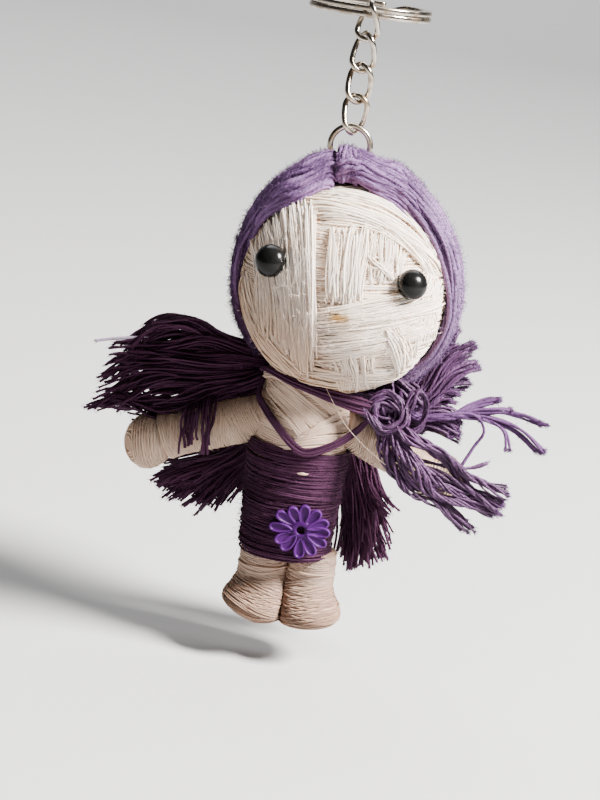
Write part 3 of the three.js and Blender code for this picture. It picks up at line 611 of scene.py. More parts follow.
# Key ring and chain
def wire_mesh(name, path, section, closed, twist_mode="MINIMUM"):
    """Wire of a given section bent along a path in millimetres in the doll's frame."""
    data = bpy.data.curves.new(name, "CURVE")
    data.dimensions = "3D"
    data.twist_mode = twist_mode
    if isinstance(section, float):
        data.bevel_depth = section * MM
        data.bevel_resolution = 6
    else:
        data.bevel_mode = "OBJECT"
        data.bevel_object = section
    data.use_fill_caps = not closed
    spline = data.splines.new("POLY")
    spline.points.add(len(path) - 1)
    spline.points.foreach_set("co", np.column_stack(((path + HANG) * MM, np.ones(len(path)))).ravel())
    spline.use_cyclic_u = closed
    guide = bpy.data.objects.new(name + "_guide", data)
    bpy.context.scene.collection.objects.link(guide)
    depsgraph = bpy.context.evaluated_depsgraph_get()
    mesh = bpy.data.meshes.new_from_object(guide.evaluated_get(depsgraph))
    bpy.data.objects.remove(guide)
    closing = bmesh.new()
    closing.from_mesh(mesh)
    bmesh.ops.remove_doubles(closing, verts=closing.verts, dist=1e-8)
    bmesh.ops.recalc_face_normals(closing, faces=closing.faces)
    closing.to_mesh(mesh)
    closing.free()
    mesh.name = name
    return mesh


def flat_section():
    """Section of the split ring's flat wire, with rounded edges."""
    half_w, half_t, edge = 0.95, 0.55, 0.3
    data = bpy.data.curves.new("ring_section", "CURVE")
    data.dimensions = "2D"
    points = []
    for x, z, start in ((1, 1, 0), (-1, 1, 90), (-1, -1, 180), (1, -1, 270)):
        for step in range(4):
            angle = math.radians(start + 30 * step)
            across = x * (half_w - edge) + edge * math.cos(angle)
            up = z * (half_t - edge) + edge * math.sin(angle)
            points.append((across, up, 0, 0))
    spline = data.splines.new("POLY")
    spline.points.add(len(points) - 1)
    spline.points.foreach_set("co", (np.array(points) * MM).ravel())
    spline.use_cyclic_u = True
    section = bpy.data.objects.new("ring_section", data)
    bpy.context.scene.collection.objects.link(section)
    return section


def split_ring():
    middle_r = 11.55
    rise = 1.25
    step_arc = math.radians(30)
    start = math.radians(60) - step_arc / 2
    along = np.linspace(0, 2 * TURN - step_arc, 180)
    climbed = ease(along, TURN - step_arc, TURN)
    path = np.column_stack((
        middle_r * np.cos(start - along), middle_r * np.sin(start - along), rise * (climbed - 0.5))) - HANG
    section = flat_section()
    mesh = wire_mesh("split_ring", path, section, False, "Z_UP")
    bpy.data.objects.remove(section)
    show("split_ring", mesh, NICKEL, "key_ring", ("split_key_ring",))


def chain_links():
    """Oval links twisted a quarter turn about their length."""
    half_length, end_r = 3.8, 2.2
    straight = half_length - end_r
    upper = np.linspace(0, math.pi, 25)
    outline = np.vstack((
        np.column_stack((end_r * np.cos(upper), straight + end_r * np.sin(upper))),
        np.column_stack((end_r * np.cos(upper + math.pi), end_r * np.sin(upper + math.pi) - straight))))
    flat = np.column_stack((outline, np.zeros(len(outline))))
    flat = even_steps(np.vstack((flat, flat[:1])), 73)[:-1]
    for index in range(4):
        turn = math.radians(-45 + 20 * index) - math.radians(45) * flat[:, 1] / half_length
        path = np.column_stack((flat[:, 0] * np.cos(turn), flat[:, 0] * np.sin(turn), flat[:, 1]))
        name = f"chain_link_{index + 1}"
        path[:, 2] += middle(name)[2]
        mesh = wire_mesh(f"link_{index + 1}", path, LINK_WIRE_R, True)
        show(f"link_{index + 1}", mesh, NICKEL, f"link_{index + 1}", (name,))


def jump_ring():
    path = ring_path(middle("jump_ring"), (0, 1, 0), 4.0, 72)
    mesh = wire_mesh("jump_ring_wire", path, RING_WIRE_R, True)
    show("jump_ring_wire", mesh, NICKEL, "jump_link", ("jump_ring",))


# Fine fibres
def fuzz(strands, count, length, outward_from=None, keep=None, lean_share=0.8):
    """Short fibres that stand off the strings, as a start, an end, a bow and a tone."""
    made = []
    weights = np.array([path_length(s["points"], s["closed"]) for s in strands])
    for pick in chance.choice(len(strands), size=count, p=weights / weights.sum()):
        points = strands[pick]["points"]
        i = chance.integers(1, len(points) - 1)
        along = unit(points[i + 1] - points[i - 1])
        out = chance.normal(size=3)
        if outward_from is not None:
            out = out * 0.6 + unit(points[i] - outward_from) * 1.3
        out = unit(out - along * (out @ along))
        if keep is not None and not keep(points[i]):
            continue
        slip = points[i] + (points[i + 1] - points[i]) * chance.uniform(0, 1)
        start = slip + out * strands[pick]["radii"][i] * 0.6
        reach = length * chance.uniform(0.3, 1.0) ** 1.5
        lean = along * chance.uniform(-lean_share, lean_share) + out
        end = start + unit(lean) * reach
        made.append((start, end, chance.normal(size=3) * reach * 0.14, strands[pick]["tone"]))
    return made


def frayed(strands, each, length, spread=0.35):
    """Loose fibres at the cut end of each strand."""
    made = []
    for one in strands:
        points = one["points"]
        along = unit(points[-1] - points[-3])
        for _ in range(each):
            lean = unit(along + chance.normal(size=3) * spread)
            start = points[-1] - along * 0.7 + chance.normal(size=3) * 0.5 * one["radii"][-1]
            end = start + lean * length * chance.uniform(0.4, 1.0)
            made.append((start, end, chance.normal(size=3) * 0.14, one["tone"]))
    return made


def fibre_strands(parts, radius=FIBRE_R, lift=0.25):
    """Each fibre is a thin spindle."""
    made = []
    for start, end, bow, tone in parts:
        path = np.array((start, (start + end) / 2 + bow, end))
        made.append(strand(path, (0.0, radius, 0.0), tone=min(1, tone + lift)))
    return made


# Head
VIEW_TIP = math.radians(13)


def face_place(x, height):
    """Direction from the middle of the head to a place on the face, seen from a little above."""
    toward = np.sqrt(np.maximum(BALL_R**2 - x**2 - height**2, 0.5))
    return unit(np.column_stack((
        x,
        height * math.sin(VIEW_TIP) - toward * math.cos(VIEW_TIP),
        height * math.cos(VIEW_TIP) + toward * math.sin(VIEW_TIP))))


def face_band(starts, ends, count, layer, bow=0.0):
    """Strings side by side across the face. Both rows of ends are tucked under."""
    made = []
    starts, ends = np.array(starts), np.array(ends)
    t = np.linspace(0, 1, 18)
    arch = np.sin(np.pi * t)
    for share in (np.arange(count) + 0.5) / count:
        crown = 0.22 - 0.5 * (2 * share - 1) ** 2
        share = share + chance.normal() * 0.7 / count
        start = starts[0] + share * (starts[1] - starts[0]) + chance.normal(size=2) * 0.5
        end = ends[0] + share * (ends[1] - ends[0]) + chance.normal(size=2) * 0.5
        run = end - start
        start = start - run * chance.uniform(-0.05, 0.12)
        end = end + run * chance.uniform(-0.05, 0.12)
        run = end - start
        square = np.array((-run[1], run[0])) / np.linalg.norm(run)
        wander = np.sin(t * chance.uniform(3, 9) + chance.uniform(0, TURN)) * 0.2
        flat = start + t[:, None] * run + (arch * (bow + chance.normal() * 0.3) + wander)[:, None] * square
        flat *= np.minimum(1, 20.0 / np.linalg.norm(flat, axis=1))[:, None]
        tuck = 1.8 * (1 - np.minimum(1, arch * 2.2)) ** 2
        reach = BASE_R + layer + crown + chance.uniform(-0.15, 0.15) - tuck
        path = HEAD + face_place(flat[:, 0], flat[:, 1]) * reach[:, None]
        thick = FACE_STRING_R * chance.uniform(0.6, 1.45) * np.minimum(1, 0.5 + 1.5 * arch)
        made.append(strand(path, thick, tone=chance.uniform(0.35, 1.0)))
    return made


def ball_loops(lean_deg, step, layer):
    """Loops of string right round the ball, side by side from one pole to the other."""
    lean = math.radians(lean_deg)
    made = []
    for offset in np.arange(-20.4, 20.5, step):
        axis = unit(np.array((math.cos(lean), 0.0, math.sin(lean))) + chance.normal(size=3) * 0.014)
        height = offset + chance.uniform(-0.1, 0.1)
        ring_r = math.sqrt(max(0.04, BASE_R**2 - height**2))
        count = max(14, int(TURN * ring_r / 2.3))
        loop = ring_path(HEAD + axis * height, axis, ring_r, count) + sway(count, 0.16, True)
        reach = BASE_R + layer + sway(count, 0.07, True)[:, :1]
        thick = BASE_STRING_R * chance.uniform(0.75, 1.25)
        # Tones lower than on the face bands laid over them: painted shade in the under layer
        made.append(strand(HEAD + unit(loop - HEAD) * reach, thick, True, chance.uniform(0.0, 0.6)))
    return made


def lumpy(shape, centre, size, wave):
    """Gives a pad a slightly uneven skin."""
    for vert in shape.verts:
        out = (vert.co - Vector(centre)).normalized()
        vert.co += out * size * noise.noise(vert.co / wave)


def head():
    shape = bmesh.new()
    bmesh.ops.create_uvsphere(shape, u_segments=48, v_segments=28, radius=BALL_R)
    bmesh.ops.translate(shape, verts=shape.verts, vec=HEAD)
    lumpy(shape, HEAD, 0.1, 4.0)
    ball = show("head_ball", mesh_of(shape, "head_ball"), HEAD_PAD, replaced=("head_core",))
    strands = ball_loops(15, 0.6, -0.25)
    strands += ball_loops(95, 0.34, 0.05)
    strands += face_band(((2.3, 11.8), (10.4, 12.1)), ((3.9, 1.0), (10.2, 3.2)), 54, 0.5)
    strands += face_band(((-20.0, 2.6), (-19.0, -5.6)), ((-3.1, -18.4), (-9.8, -18.4)), 58, 0.5, -2.4)
    strands += face_band(((-5.0, -15.2), (-7.3, -18.4)), ((18.1, -10.7), (13.6, -15.9)), 42, 0.5, -2.0)
    strands += face_band(((-1.0, -13.2), (7.6, -11.9)), ((1.4, -19.5), (9.7, -18.3)), 54, 0.55)
    strands += face_band(((15.0, 4.4), (19.2, 4.0)), ((14.4, -11.8), (18.8, -7.6)), 38, 0.5, -0.8)
    strands += face_band(((-4.6, 10.7), (-2.8, 10.3)), ((-2.8, -3.9), (-1.1, -3.6)), 18, 0.75, 0.3)
    strands += face_band(((-1.1, 10.9), (3.5, 11.2)), ((-0.4, -3.8), (3.6, -2.8)), 38, 0.72, -0.3)
    strands += face_band(((-8.4, 17.6), (-10.4, 15.6)), ((17.6, 9.8), (18.6, 6.6)), 38, 0.65, 5.0)
    strands += face_band(((-11.0, 14.8), (-8.3, 11.6)), ((18.2, 7.0), (15.9, 3.6)), 45, 0.9, 3.6)
    strands += face_band(((3.0, 5.1), (4.3, 5.7)), ((8.4, 1.7), (9.0, 2.5)), 10, 0.8)
    strands += face_band(((-5.6, -9.4), (-3.6, -15.0)), ((15.7, -1.8), (18.8, -6.3)), 58, 0.75, -1.4)
    strands += face_band(((-5.9, -5.9), (-5.4, -9.9)), ((16.8, 2.3), (18.6, -1.6)), 42, 0.95, -1.0)
    strands += face_band(((7.6, -7.8), (10.8, -6.4)), ((12.2, -14.4), (14.4, -12.4)), 26, 1.0, 0.5)
    strands += face_band(((-19.2, 5.6), (-17.4, 9.6)), ((-16.5, -9.0), (-10.5, -14.0)), 42, 0.65, 1.0)
    strands += face_band(((-17.8, 9.1), (-13.8, 14.5)), ((-10.0, -13.0), (-5.9, -16.2)), 61, 0.85, 0.6)
    strands += face_band(((-14.2, 14.1), (-9.2, 17.6)), ((-6.7, -16.4), (-3.9, -15.6)), 54, 1.1, 0.3)
    strands += face_band(((-9.6, 14.6), (-8.2, 15.2)), ((-4.6, -14.0), (-3.6, -13.4)), 14, 1.3, 0.2)
    string_piece("head_strings", strands, HEAD_STRING, ("head_winding",))
    parts = fuzz(strands, 2600, 1.0, HEAD, lambda p: p[1] < -6 and p[2] > HEAD[2] - 14)
    parts += fuzz(strands, 7000, 4.0, HEAD, lambda p: p[1] < -11 and p[2] > HEAD[2] - 9, 14.0)
    string_piece("head_fibres", fibre_strands(parts, 0.036), HEAD_STRING)


def bead_eyes():
    places = {"left": (-14.6, -15.6, 6.1, 3.3), "right": (12.5, -17.4, 5.9, 3.05)}
    for label, (*place, half_w) in places.items():
        outward = unit(place)
        height = 0.88 * half_w
        dome = [(half_w * math.cos(a), height * math.sin(a)) for a in np.radians(np.linspace(-60, 84, 17))]
        profile = [(0, -BEAD_SHANK), (BEAD_SHANK_R, -BEAD_SHANK), *dome, (0, height)]
        shape = turned(profile, 40)
        turn = Vector((0, 0, 1)).rotation_difference(Vector(outward)).to_matrix()
        bmesh.ops.rotate(shape, verts=shape.verts, cent=(0, 0, 0), matrix=turn)
        bmesh.ops.translate(shape, verts=shape.verts, vec=HEAD + outward * BEAD_OUT)
        mesh = mesh_of(shape, f"bead_{label}")
        show(f"bead_{label}", mesh, BEAD, replaced=(f"eye_{label}",))


# Hair
LEFT_GATHER = np.array((-0.69, 0.12, -0.71))
RIGHT_GATHER = np.array((0.60, -0.10, -0.79))


def hair_reach(direction):
    """Distance from the middle of the head to the outside of the hair, low where the jump ring swings."""
    top = np.clip(direction[..., 2], 0, 1)
    back = np.clip(direction[..., 1], 0, 1)
    from_ring = np.abs(HEAD[0] + direction[..., 0] * HAIR_TOP_R)
    beside = ease(from_ring, RING_HALF_W - 0.1, RING_HALF_W + 1.2)
    behind = ease(direction[..., 1] * HAIR_TOP_R, 8.6, 11.0)
    clear = np.maximum(beside, behind)
    right = np.clip(direction[..., 0], 0, 1) * (1 - top)
    rise = 4.2 - 1.5 * np.clip(direction[..., 0], 0, 1)
    return HAIR_R + rise * top**1.4 * (0.2 + 0.8 * clear) + 1.6 * back * (1 - top**2) + 1.1 * right


def hair_line(side, share, depth, start_x, count=40):
    """One yarn of hair, from beside the parting round the side of the head to where the pigtail starts."""
    gather = unit(LEFT_GATHER if side < 0 else RIGHT_GATHER)
    polar = math.radians(-3 + 111 * share)
    start = unit(((start_x - HEAD[0]) / HAIR_TOP_R, math.sin(polar), math.cos(polar)))
    bend = math.acos(np.clip(start @ gather, -1, 1))
    s = np.linspace(0, 1, count)[:, None]
    way = (np.sin((1 - s) * bend) * start + np.sin(s * bend) * gather) / math.sin(bend)
    forward = -0.11 if side < 0 else -0.08
    way[:, 1] += forward * max(0, 1 - share) * ease(s[:, 0], 0, 0.25) * ease(1 - s[:, 0], 0.2, 0.75)
    way = unit(way)
    reach = hair_reach(way) - YARN_R
    reach = reach + depth * (BASE_R + 0.7 - reach)
    reach = reach + ease(s[:, 0], 0.8, 1.0) * chance.uniform(-2.0, 0.3)
    tuck = ease(1 - s[:, 0], 0.93, 1.0) * 1.2
    line = HEAD + way * (reach - tuck)[:, None]
    return line + sway(count, 0.4) * np.sin(np.pi * s)


def yarn(path, radius=YARN_R, tone=None):
    """A soft yarn with slubs, whose thickness comes and goes."""
    t = np.linspace(0, 1, len(path))
    swell = 1 + chance.normal(size=len(path)) * 0.06
    for waves, size in ((chance.uniform(9, 16), 0.13), (chance.uniform(26, 44), 0.13)):
        swell += size * np.sin(waves * t + chance.uniform(0, TURN))
    return strand(path, radius * chance.uniform(0.85, 1.12) * swell, tone=tone)


def parting_yarns(first_x, last_x):
    """Yarns combed straight back from the knot, low between the two sides, where the jump ring swings."""
    made = []
    for x in np.linspace(first_x, last_x, 2 + int(abs(last_x - first_x) / 0.42)):
        polar = np.radians(np.linspace(-9, chance.uniform(70, 84), 30))
        drawn_in = first_x + (x - first_x) * (1 - 0.75 * ease(polar, 0.5, 1.4))
        way = unit(np.column_stack(((drawn_in - HEAD[0]) / HAIR_TOP_R, np.sin(polar), np.cos(polar))))
        reach = hair_reach(way) - chance.uniform(0.2, 0.6) - 1.2 * ease(polar, 1.1, 1.4)
        made.append(yarn(HEAD + way * reach[:, None] + sway(30, 0.25), 0.42))
    return made


def clear_of_ring(place):
    """Tells if a fibre's end is away from where the jump ring swings."""
    return abs(place[0]) > RING_HALF_W + 1.9 or place[2] < RING_BOTTOM_Z - 5 or place[1] > 12


def hair_half(side, label):
    shape = bmesh.new()
    bmesh.ops.create_icosphere(shape, subdivisions=5, radius=1.0)
    for vert in shape.verts:
        direction = np.array(vert.co)
        vert.co = HEAD + direction * (hair_reach(direction) - 1.0)
    parting = -3.0 if side < 0 else -2.4
    cuts = (
        ((0, HEAD[1] + 2.2, 0), (0, -1, 0)),
        ((parting, 0, 0), (-side, 0, 0)),
        ((0, 0, HEAD[2] - 19.5), (0, 0, -1)),
    )
    for point, outside in cuts:
        geometry = shape.verts[:] + shape.edges[:] + shape.faces[:]
        bmesh.ops.bisect_plane(shape, geom=geometry, plane_co=point, plane_no=outside, clear_outer=True)
        open_edges = [e for e in shape.edges if e.is_boundary]
        bmesh.ops.holes_fill(shape, edges=open_edges, sides=0)
    show(f"hair_pad_{label}", mesh_of(shape, f"hair_pad_{label}"), HAIR_PAD,
         replaced=(f"hair_{label}",))
    strands = []
    edge_x = side * (RING_HALF_W + 0.7)
    under_x = -3.5 if side < 0 else -2.5
    for share in np.linspace(0.0, 1.0, 86):
        start_x = edge_x + (under_x - edge_x) * ease(share, 0.4, 0.6)
        strands.append(yarn(hair_line(side, share, chance.uniform(0, 0.3), start_x)))
    for share in np.linspace(0.02, 1.0, 46):
        start_x = edge_x + (under_x - edge_x) * ease(share, 0.4, 0.6)
        strands.append(yarn(hair_line(side, share, chance.uniform(-0.16, 0.02), start_x), 0.4))
    for depth in np.linspace(0.08, 0.95, 20):
        strands.append(yarn(hair_line(side, chance.uniform(-0.03, 0.05), depth, edge_x), 0.42))
    for share in np.linspace(0.1, 0.42, 12):
        strands.append(yarn(hair_line(side, share, 0.5, under_x), 0.42))
    for share in np.linspace(1.0, 1.27, 26):
        strands.append(yarn(hair_line(side, share, chance.uniform(0, 0.3), under_x)))
    strands += parting_yarns(under_x, edge_x)
    string_piece(f"hair_strings_{label}", strands, HAIR, (f"hair_{label}",), ROUND_SIDES)
    parts = fuzz(strands, 9000, 1.6, HEAD) + fuzz(strands, 9000, 2.6, HEAD, None, 4.0)
    parts = [one for one in parts if clear_of_ring(one[1])]
    string_piece(f"hair_fibres_{label}", fibre_strands(parts, LOOSE_FIBRE_R, 0.4), HAIR)


# Rows of places where the hair beside the knot starts, passes and ends, each from the hairline to the back
LEFT_SWEEP = (
    ((-2.4, -4.2, -35.2), (-2.2, -3.6, -33.6), (-2.2, -2.2, -31.4), (-2.2, 0.0, -30.6), (-2.2, 3.0, -31.0)),
    ((-3.4, -4.8, -34.8), (-3.2, -4.4, -32.4), (-3.1, -3.0, -30.0), (-3.1, -0.4, -28.9), (-3.2, 3.2, -29.6)),
    ((-5.4, -5.2, -36.2), (-5.2, -4.8, -33.6), (-5.0, -3.2, -30.7), (-5.0, -0.4, -29.3), (-5.2, 3.4, -29.8)),
    ((-9.4, -6.8, -39.2), (-9.2, -5.9, -36.2), (-9.0, -4.0, -33.1), (-9.0, -0.6, -31.6), (-9.0, 3.6, -32.2)),
    ((-14.5, -4.2, -43.0), (-14.2, -4.6, -40.2), (-13.8, -3.6, -37.5), (-13.6, -0.6, -36.0),
     (-13.6, 3.6, -36.4)),
    ((-17.2, -0.4, -50.6), (-17.2, -1.8, -47.0), (-17.0, -2.2, -43.6), (-16.8, -0.4, -41.6),
     (-16.8, 3.2, -42.0)),
)
RIGHT_SWEEP = (
    ((1.0, -3.6, -33.6), (0.6, -3.8, -31.4), (0.4, -3.0, -29.4), (0.6, -0.6, -28.2), (0.6, 2.8, -29.4)),
    ((2.6, -4.6, -33.4), (2.6, -4.8, -31.0), (2.6, -3.6, -28.9), (2.8, -0.6, -27.9), (2.6, 3.2, -29.0)),
    ((6.2, -5.2, -34.6), (5.8, -5.0, -32.2), (5.4, -3.6, -29.9), (5.4, -0.6, -28.7), (5.4, 3.4, -29.4)),
    ((11.4, -5.9, -36.6), (11.0, -5.4, -34.0), (10.8, -3.8, -31.6), (10.8, -0.6, -29.9), (10.8, 3.6, -30.4)),
    ((15.8, -6.9, -40.2), (15.8, -5.8, -37.9), (15.8, -4.0, -35.5), (15.8, -0.6, -33.8), (15.8, 3.6, -34.2)),
    ((19.2, -5.8, -44.8), (19.0, -4.8, -42.6), (18.8, -3.2, -40.4), (18.6, -0.6, -38.7), (18.6, 3.4, -39.1)),
)


def crown_knot():
    """Yarn drawn through the jump ring over its lower wire, with the hair that starts beside it.
    """
    strands = []
    for x in np.linspace(-1.9, 2.8, 14):
        fall = 0.28 if x < -1.1 else 0.1
        top = RING_BOTTOM_Z + 3.7 - fall * (x + 1.1) ** 2 + chance.uniform(-0.4, 0.3)
        knots = ((x * 0.9 - 0.1, -4.0, -33.6), (x, -3.7, top - 2.6), (x, -2.6, top - 0.8),
                 (x * 0.95, -0.6, top), (x * 0.95, 1.4, top - 0.8), (x, 2.8, top - 2.8),
                 (x * 1.1, 3.4, -33.4))
        strands.append(yarn(smooth_path(knots, 26) + sway(26, 0.4), 0.47, chance.uniform(0.3, 1.0)))
    for lift in (0.0, 0.7, 1.4, 2.0):
        knots = ((-2.4, -2.0, RING_BOTTOM_Z - 2.4 + lift), (-1.6, -4.5, RING_BOTTOM_Z - 1.0 + lift),
                 (0.8, -4.9, RING_BOTTOM_Z - 0.2 + lift), (2.8, -4.3, RING_BOTTOM_Z + 0.4 + lift * 0.6),
                 (4.4, -3.2, RING_BOTTOM_Z + 0.6))
        strands.append(yarn(smooth_path(knots, 22) + sway(22, 0.4), 0.47, chance.uniform(0.4, 1.0)))
    for sweep in (LEFT_SWEEP, RIGHT_SWEEP):
        rows = [smooth_path((*row, np.array(row[-1]) + (0, 1.2, -2.6)), 30) for row in sweep]
        for k in range(30):
            path = smooth_path([row[k] for row in rows], 30) + sway(30, 0.42)
            strands.append(yarn(path, YARN_R, chance.uniform(0.2, 1.0)))
    knot = string_piece("crown_knot", strands, HAIR, ("crown_loop",), ROUND_SIDES, None)
    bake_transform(knot)
    parts = fuzz(strands, 6000, 1.5, HEAD)
    fibres = fibre_strands(parts, LOOSE_FIBRE_R, 0.4)
    wisps = string_piece("crown_fibres", fibres, HAIR, body=None)
    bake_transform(wisps)


# Bundles of loose strands
def even_disc(count):
    """Points spread evenly over a disc, a little off their places."""
    k = np.arange(count)
    r = np.sqrt((k + 0.5) / count)
    turn = 2.39996 * k
    spots = np.column_stack((r * np.cos(turn), r * np.sin(turn)))
    return spots + chance.normal(size=spots.shape) * 0.08


def lock(knots, count, sizes, flatness=0.8, reach=(0.86, 1.0), drift=0.5, points=18, radius=STRAND_R,
         tone=(0.0, 1.0), wave=0.0):
    """A lock of strands along a path.

    Its half width changes along it, it is flatter front to back, and its strands wave together.
    """
    fine = 60
    path = smooth_path(knots, fine)
    forward = unit(np.gradient(path, axis=0))
    hangs = abs(unit(path[-1] - path[0])[2]) >= 0.8
    upward = np.array((1.0, 0.0, 0.0)) if hangs else np.array((0.0, 0.0, 1.0))
    side = unit(upward - (forward @ upward)[:, None] * forward)
    over = np.cross(forward, side)
    share = np.linspace(0, 1, fine)
    half = np.interp(share, np.linspace(0, 1, len(sizes)), sizes)
    rolling = wave * np.sin(share * chance.uniform(6, 9) + chance.uniform(0, TURN)) * ease(share, 0.1, 0.6)
    path = path + side * rolling[:, None]
    made = []
    for a, b in even_disc(count):
        line = path + side * (a * half)[:, None] + over * (b * half * flatness)[:, None]
        line = line + sway(fine, drift) * ease(share, 0.1, 0.9)[:, None]
        last = int(fine * chance.uniform(*reach))
        made.append(strand(
            even_steps(line[:last], points), radius * chance.uniform(0.8, 1.12), tone=chance.uniform(*tone)))
    return made


def cord(knots, plies=5, wide=0.5, radius=0.26, pitch=11.0, points=44, tone=(0.0, 1.0)):
    """Plies laid loosely round each other, which come apart at the cut end."""
    path = smooth_path(knots, points) + sway(points, 0.3)
    forward = unit(np.gradient(path, axis=0))
    side = unit(np.cross(forward, (0.05, 1.0, 0.2)))
    over = np.cross(forward, side)
    share = np.linspace(0, 1, points)
    held = np.minimum(share, 0.8) + 0.3 * np.maximum(share - 0.8, 0)
    length = path_length(path, False)
    start = chance.uniform(0, 1)
    made = []
    for k in range(plies):
        turn = TURN * (held * length / (pitch * chance.uniform(0.8, 1.2)) + start + k / plies)[:, None]
        off = wide * chance.uniform(0.5, 1.15)
        off = off * (1 + chance.uniform(0.4, 2.2) * ease(share, 0.72, 1.0))[:, None]
        line = path + off * (np.cos(turn) * side + np.sin(turn) * over) + sway(points, 0.22)
        last = int(points * chance.uniform(0.93, 1.0))
        made.append(yarn(line[:last], radius, chance.uniform(*tone)))
    return made


def strand_piece(name, strands, replaced, material, fray=5, fray_length=2.0, fuzz_each=14,
                 sides=FINE_SIDES, fibres=None):
    """Loose strands with their frayed ends and stray fibres."""
    string_piece(name, strands, material, replaced, sides)
    parts = frayed(strands, fray, fray_length) + fuzz(strands, fuzz_each * len(strands), 1.0)
    string_piece(name + "_fibres", fibre_strands(parts, LOOSE_FIBRE_R, 0.15), fibres or material)


def binding(tie, axis, reach):
    """A few turns of string round the root of a pigtail."""
    axis = unit(axis)
    loops = []
    for shift in (-0.9, -0.45, 0.0, 0.45, 0.9):
        loop = ring_path(tie + axis * shift, axis, reach, 24) + sway(24, 0.12, True)
        loops.append(strand(loop, 0.3, True))
    return loops


def left_pigtail():
    root = (-8.6, 5.0, -72.6)
    locks = (
        ((-19.5, 3.6, -70.8), (-27.0, 3.0, -69.6), (-34.0, 3.0, -71.4), (-40.6, 3.0, -75.8)),
        ((-19.5, 3.0, -72.0), (-27.0, 2.4, -71.4), (-35.0, 2.4, -73.6), (-42.6, 2.4, -78.6)),
        ((-19.5, 2.2, -73.8), (-28.0, 1.8, -74.2), (-36.0, 2.0, -76.8), (-43.4, 2.0, -81.2)),
        ((-19.5, 1.6, -75.6), (-28.0, 1.0, -77.2), (-37.0, 1.6, -79.0), (-45.4, 2.0, -82.6)),
        ((-19.0, 1.2, -77.6), (-28.0, 0.6, -80.6), (-36.0, 1.2, -81.8), (-43.6, 1.5, -86.0)),
        ((-18.5, 0.8, -79.6), (-26.0, 0.2, -83.6), (-33.0, 0.6, -84.4), (-41.6, 1.5, -86.6)),
        ((-17.5, 0.5, -80.8), (-25.0, 0.0, -84.8), (-32.0, 0.4, -86.0), (-38.0, 1.0, -86.0),
         (-46.4, 2.0, -89.4)),
        ((-19.5, 6.6, -73.0), (-30.0, 6.6, -76.0), (-41.0, 6.0, -80.0)),
        ((-19.5, 6.6, -77.0), (-30.0, 6.6, -81.0), (-40.0, 6.0, -86.0)),
    )
    strands = []
    for k, knots in enumerate(locks):
        start = np.array(root) + np.array((0, -0.3 * (k % 3), -0.75 * min(k, 6)))
        sizes = (1.5, 1.9, 2.0, 1.7, 1.1) if k == 6 else (1.5, 1.9, 2.1, 2.0, 2.1)
        strands += lock((start, *knots), 34, sizes, reach=(0.74, 1.0), drift=1.5, radius=0.25, wave=1.3)
    shoulder = (
        (-3.0, 5.0, -74.0), (-9.0, 3.0, -76.6), (-14.0, 2.0, -79.4), (-19.0, 1.6, -81.6),
        (-25.0, 1.4, -84.4))
    strands += lock(shoulder, 34, (2.4, 2.6, 2.4, 2.0, 1.4), 1.0, radius=0.36)
    pale_tip = ((-34.0, 3.4, -72.0), (-38.0, 2.4, -72.6), (-42.0, 2.4, -73.4), (-46.0, 3.0, -74.6))
    # The strands take the darker plum string of the dress: painted shade on the left side of the hair
    strand_piece("pigtail_strands_left", strands, ("pigtail_left",), PLUM)
    pale = [strand(smooth_path(pale_tip, 22), 0.34, tone=1.0)]
    strand_piece("pigtail_pale_strand", pale, ("pigtail_left",), PALE, 9, 1.6, 30)
    loops = binding(middle("pigtail_tie_left"), (-1.0, -0.05, -0.62), 2.3)
    string_piece("pigtail_binding_left", loops, PLUM, ("pigtail_tie_left",))


def arm_wisps():
    """Cut ends that hang from the left pigtail over the arm."""
    wisps = (
        (-25.4, -25.2, -93.0), (-24.8, -24.4, -92.0), (-24.2, -23.7, -91.4), (-23.6, -23.0, -91.2),
        (-23.0, -22.5, -90.4), (-22.4, -21.8, -90.2), (-21.2, -20.9, -92.4), (-20.6, -20.3, -92.6),
        (-20.0, -19.8, -92.0), (-19.5, -19.2, -90.4))
    strands = []
    for x, end_x, end_z in wisps:
        level = ARM_ROOT_Z + x * math.tan(math.radians(ARM_DROOP_DEG))
        knots = ((x, 0.6, level + 6.6), (x, -3.4, level + 5.6), (x, -5.4, level + 3.0),
                 (x, -5.9, level + 0.3), (end_x, -6.0, end_z + chance.uniform(-0.8, 0.8)))
        strands.append(strand(smooth_path(knots, 16) + sway(16, 0.4), chance.uniform(0.24, 0.34)))
    # Plum like the left pigtail: painted shade
    strand_piece("arm_wisps", strands, (), PLUM, 4, 0.9)


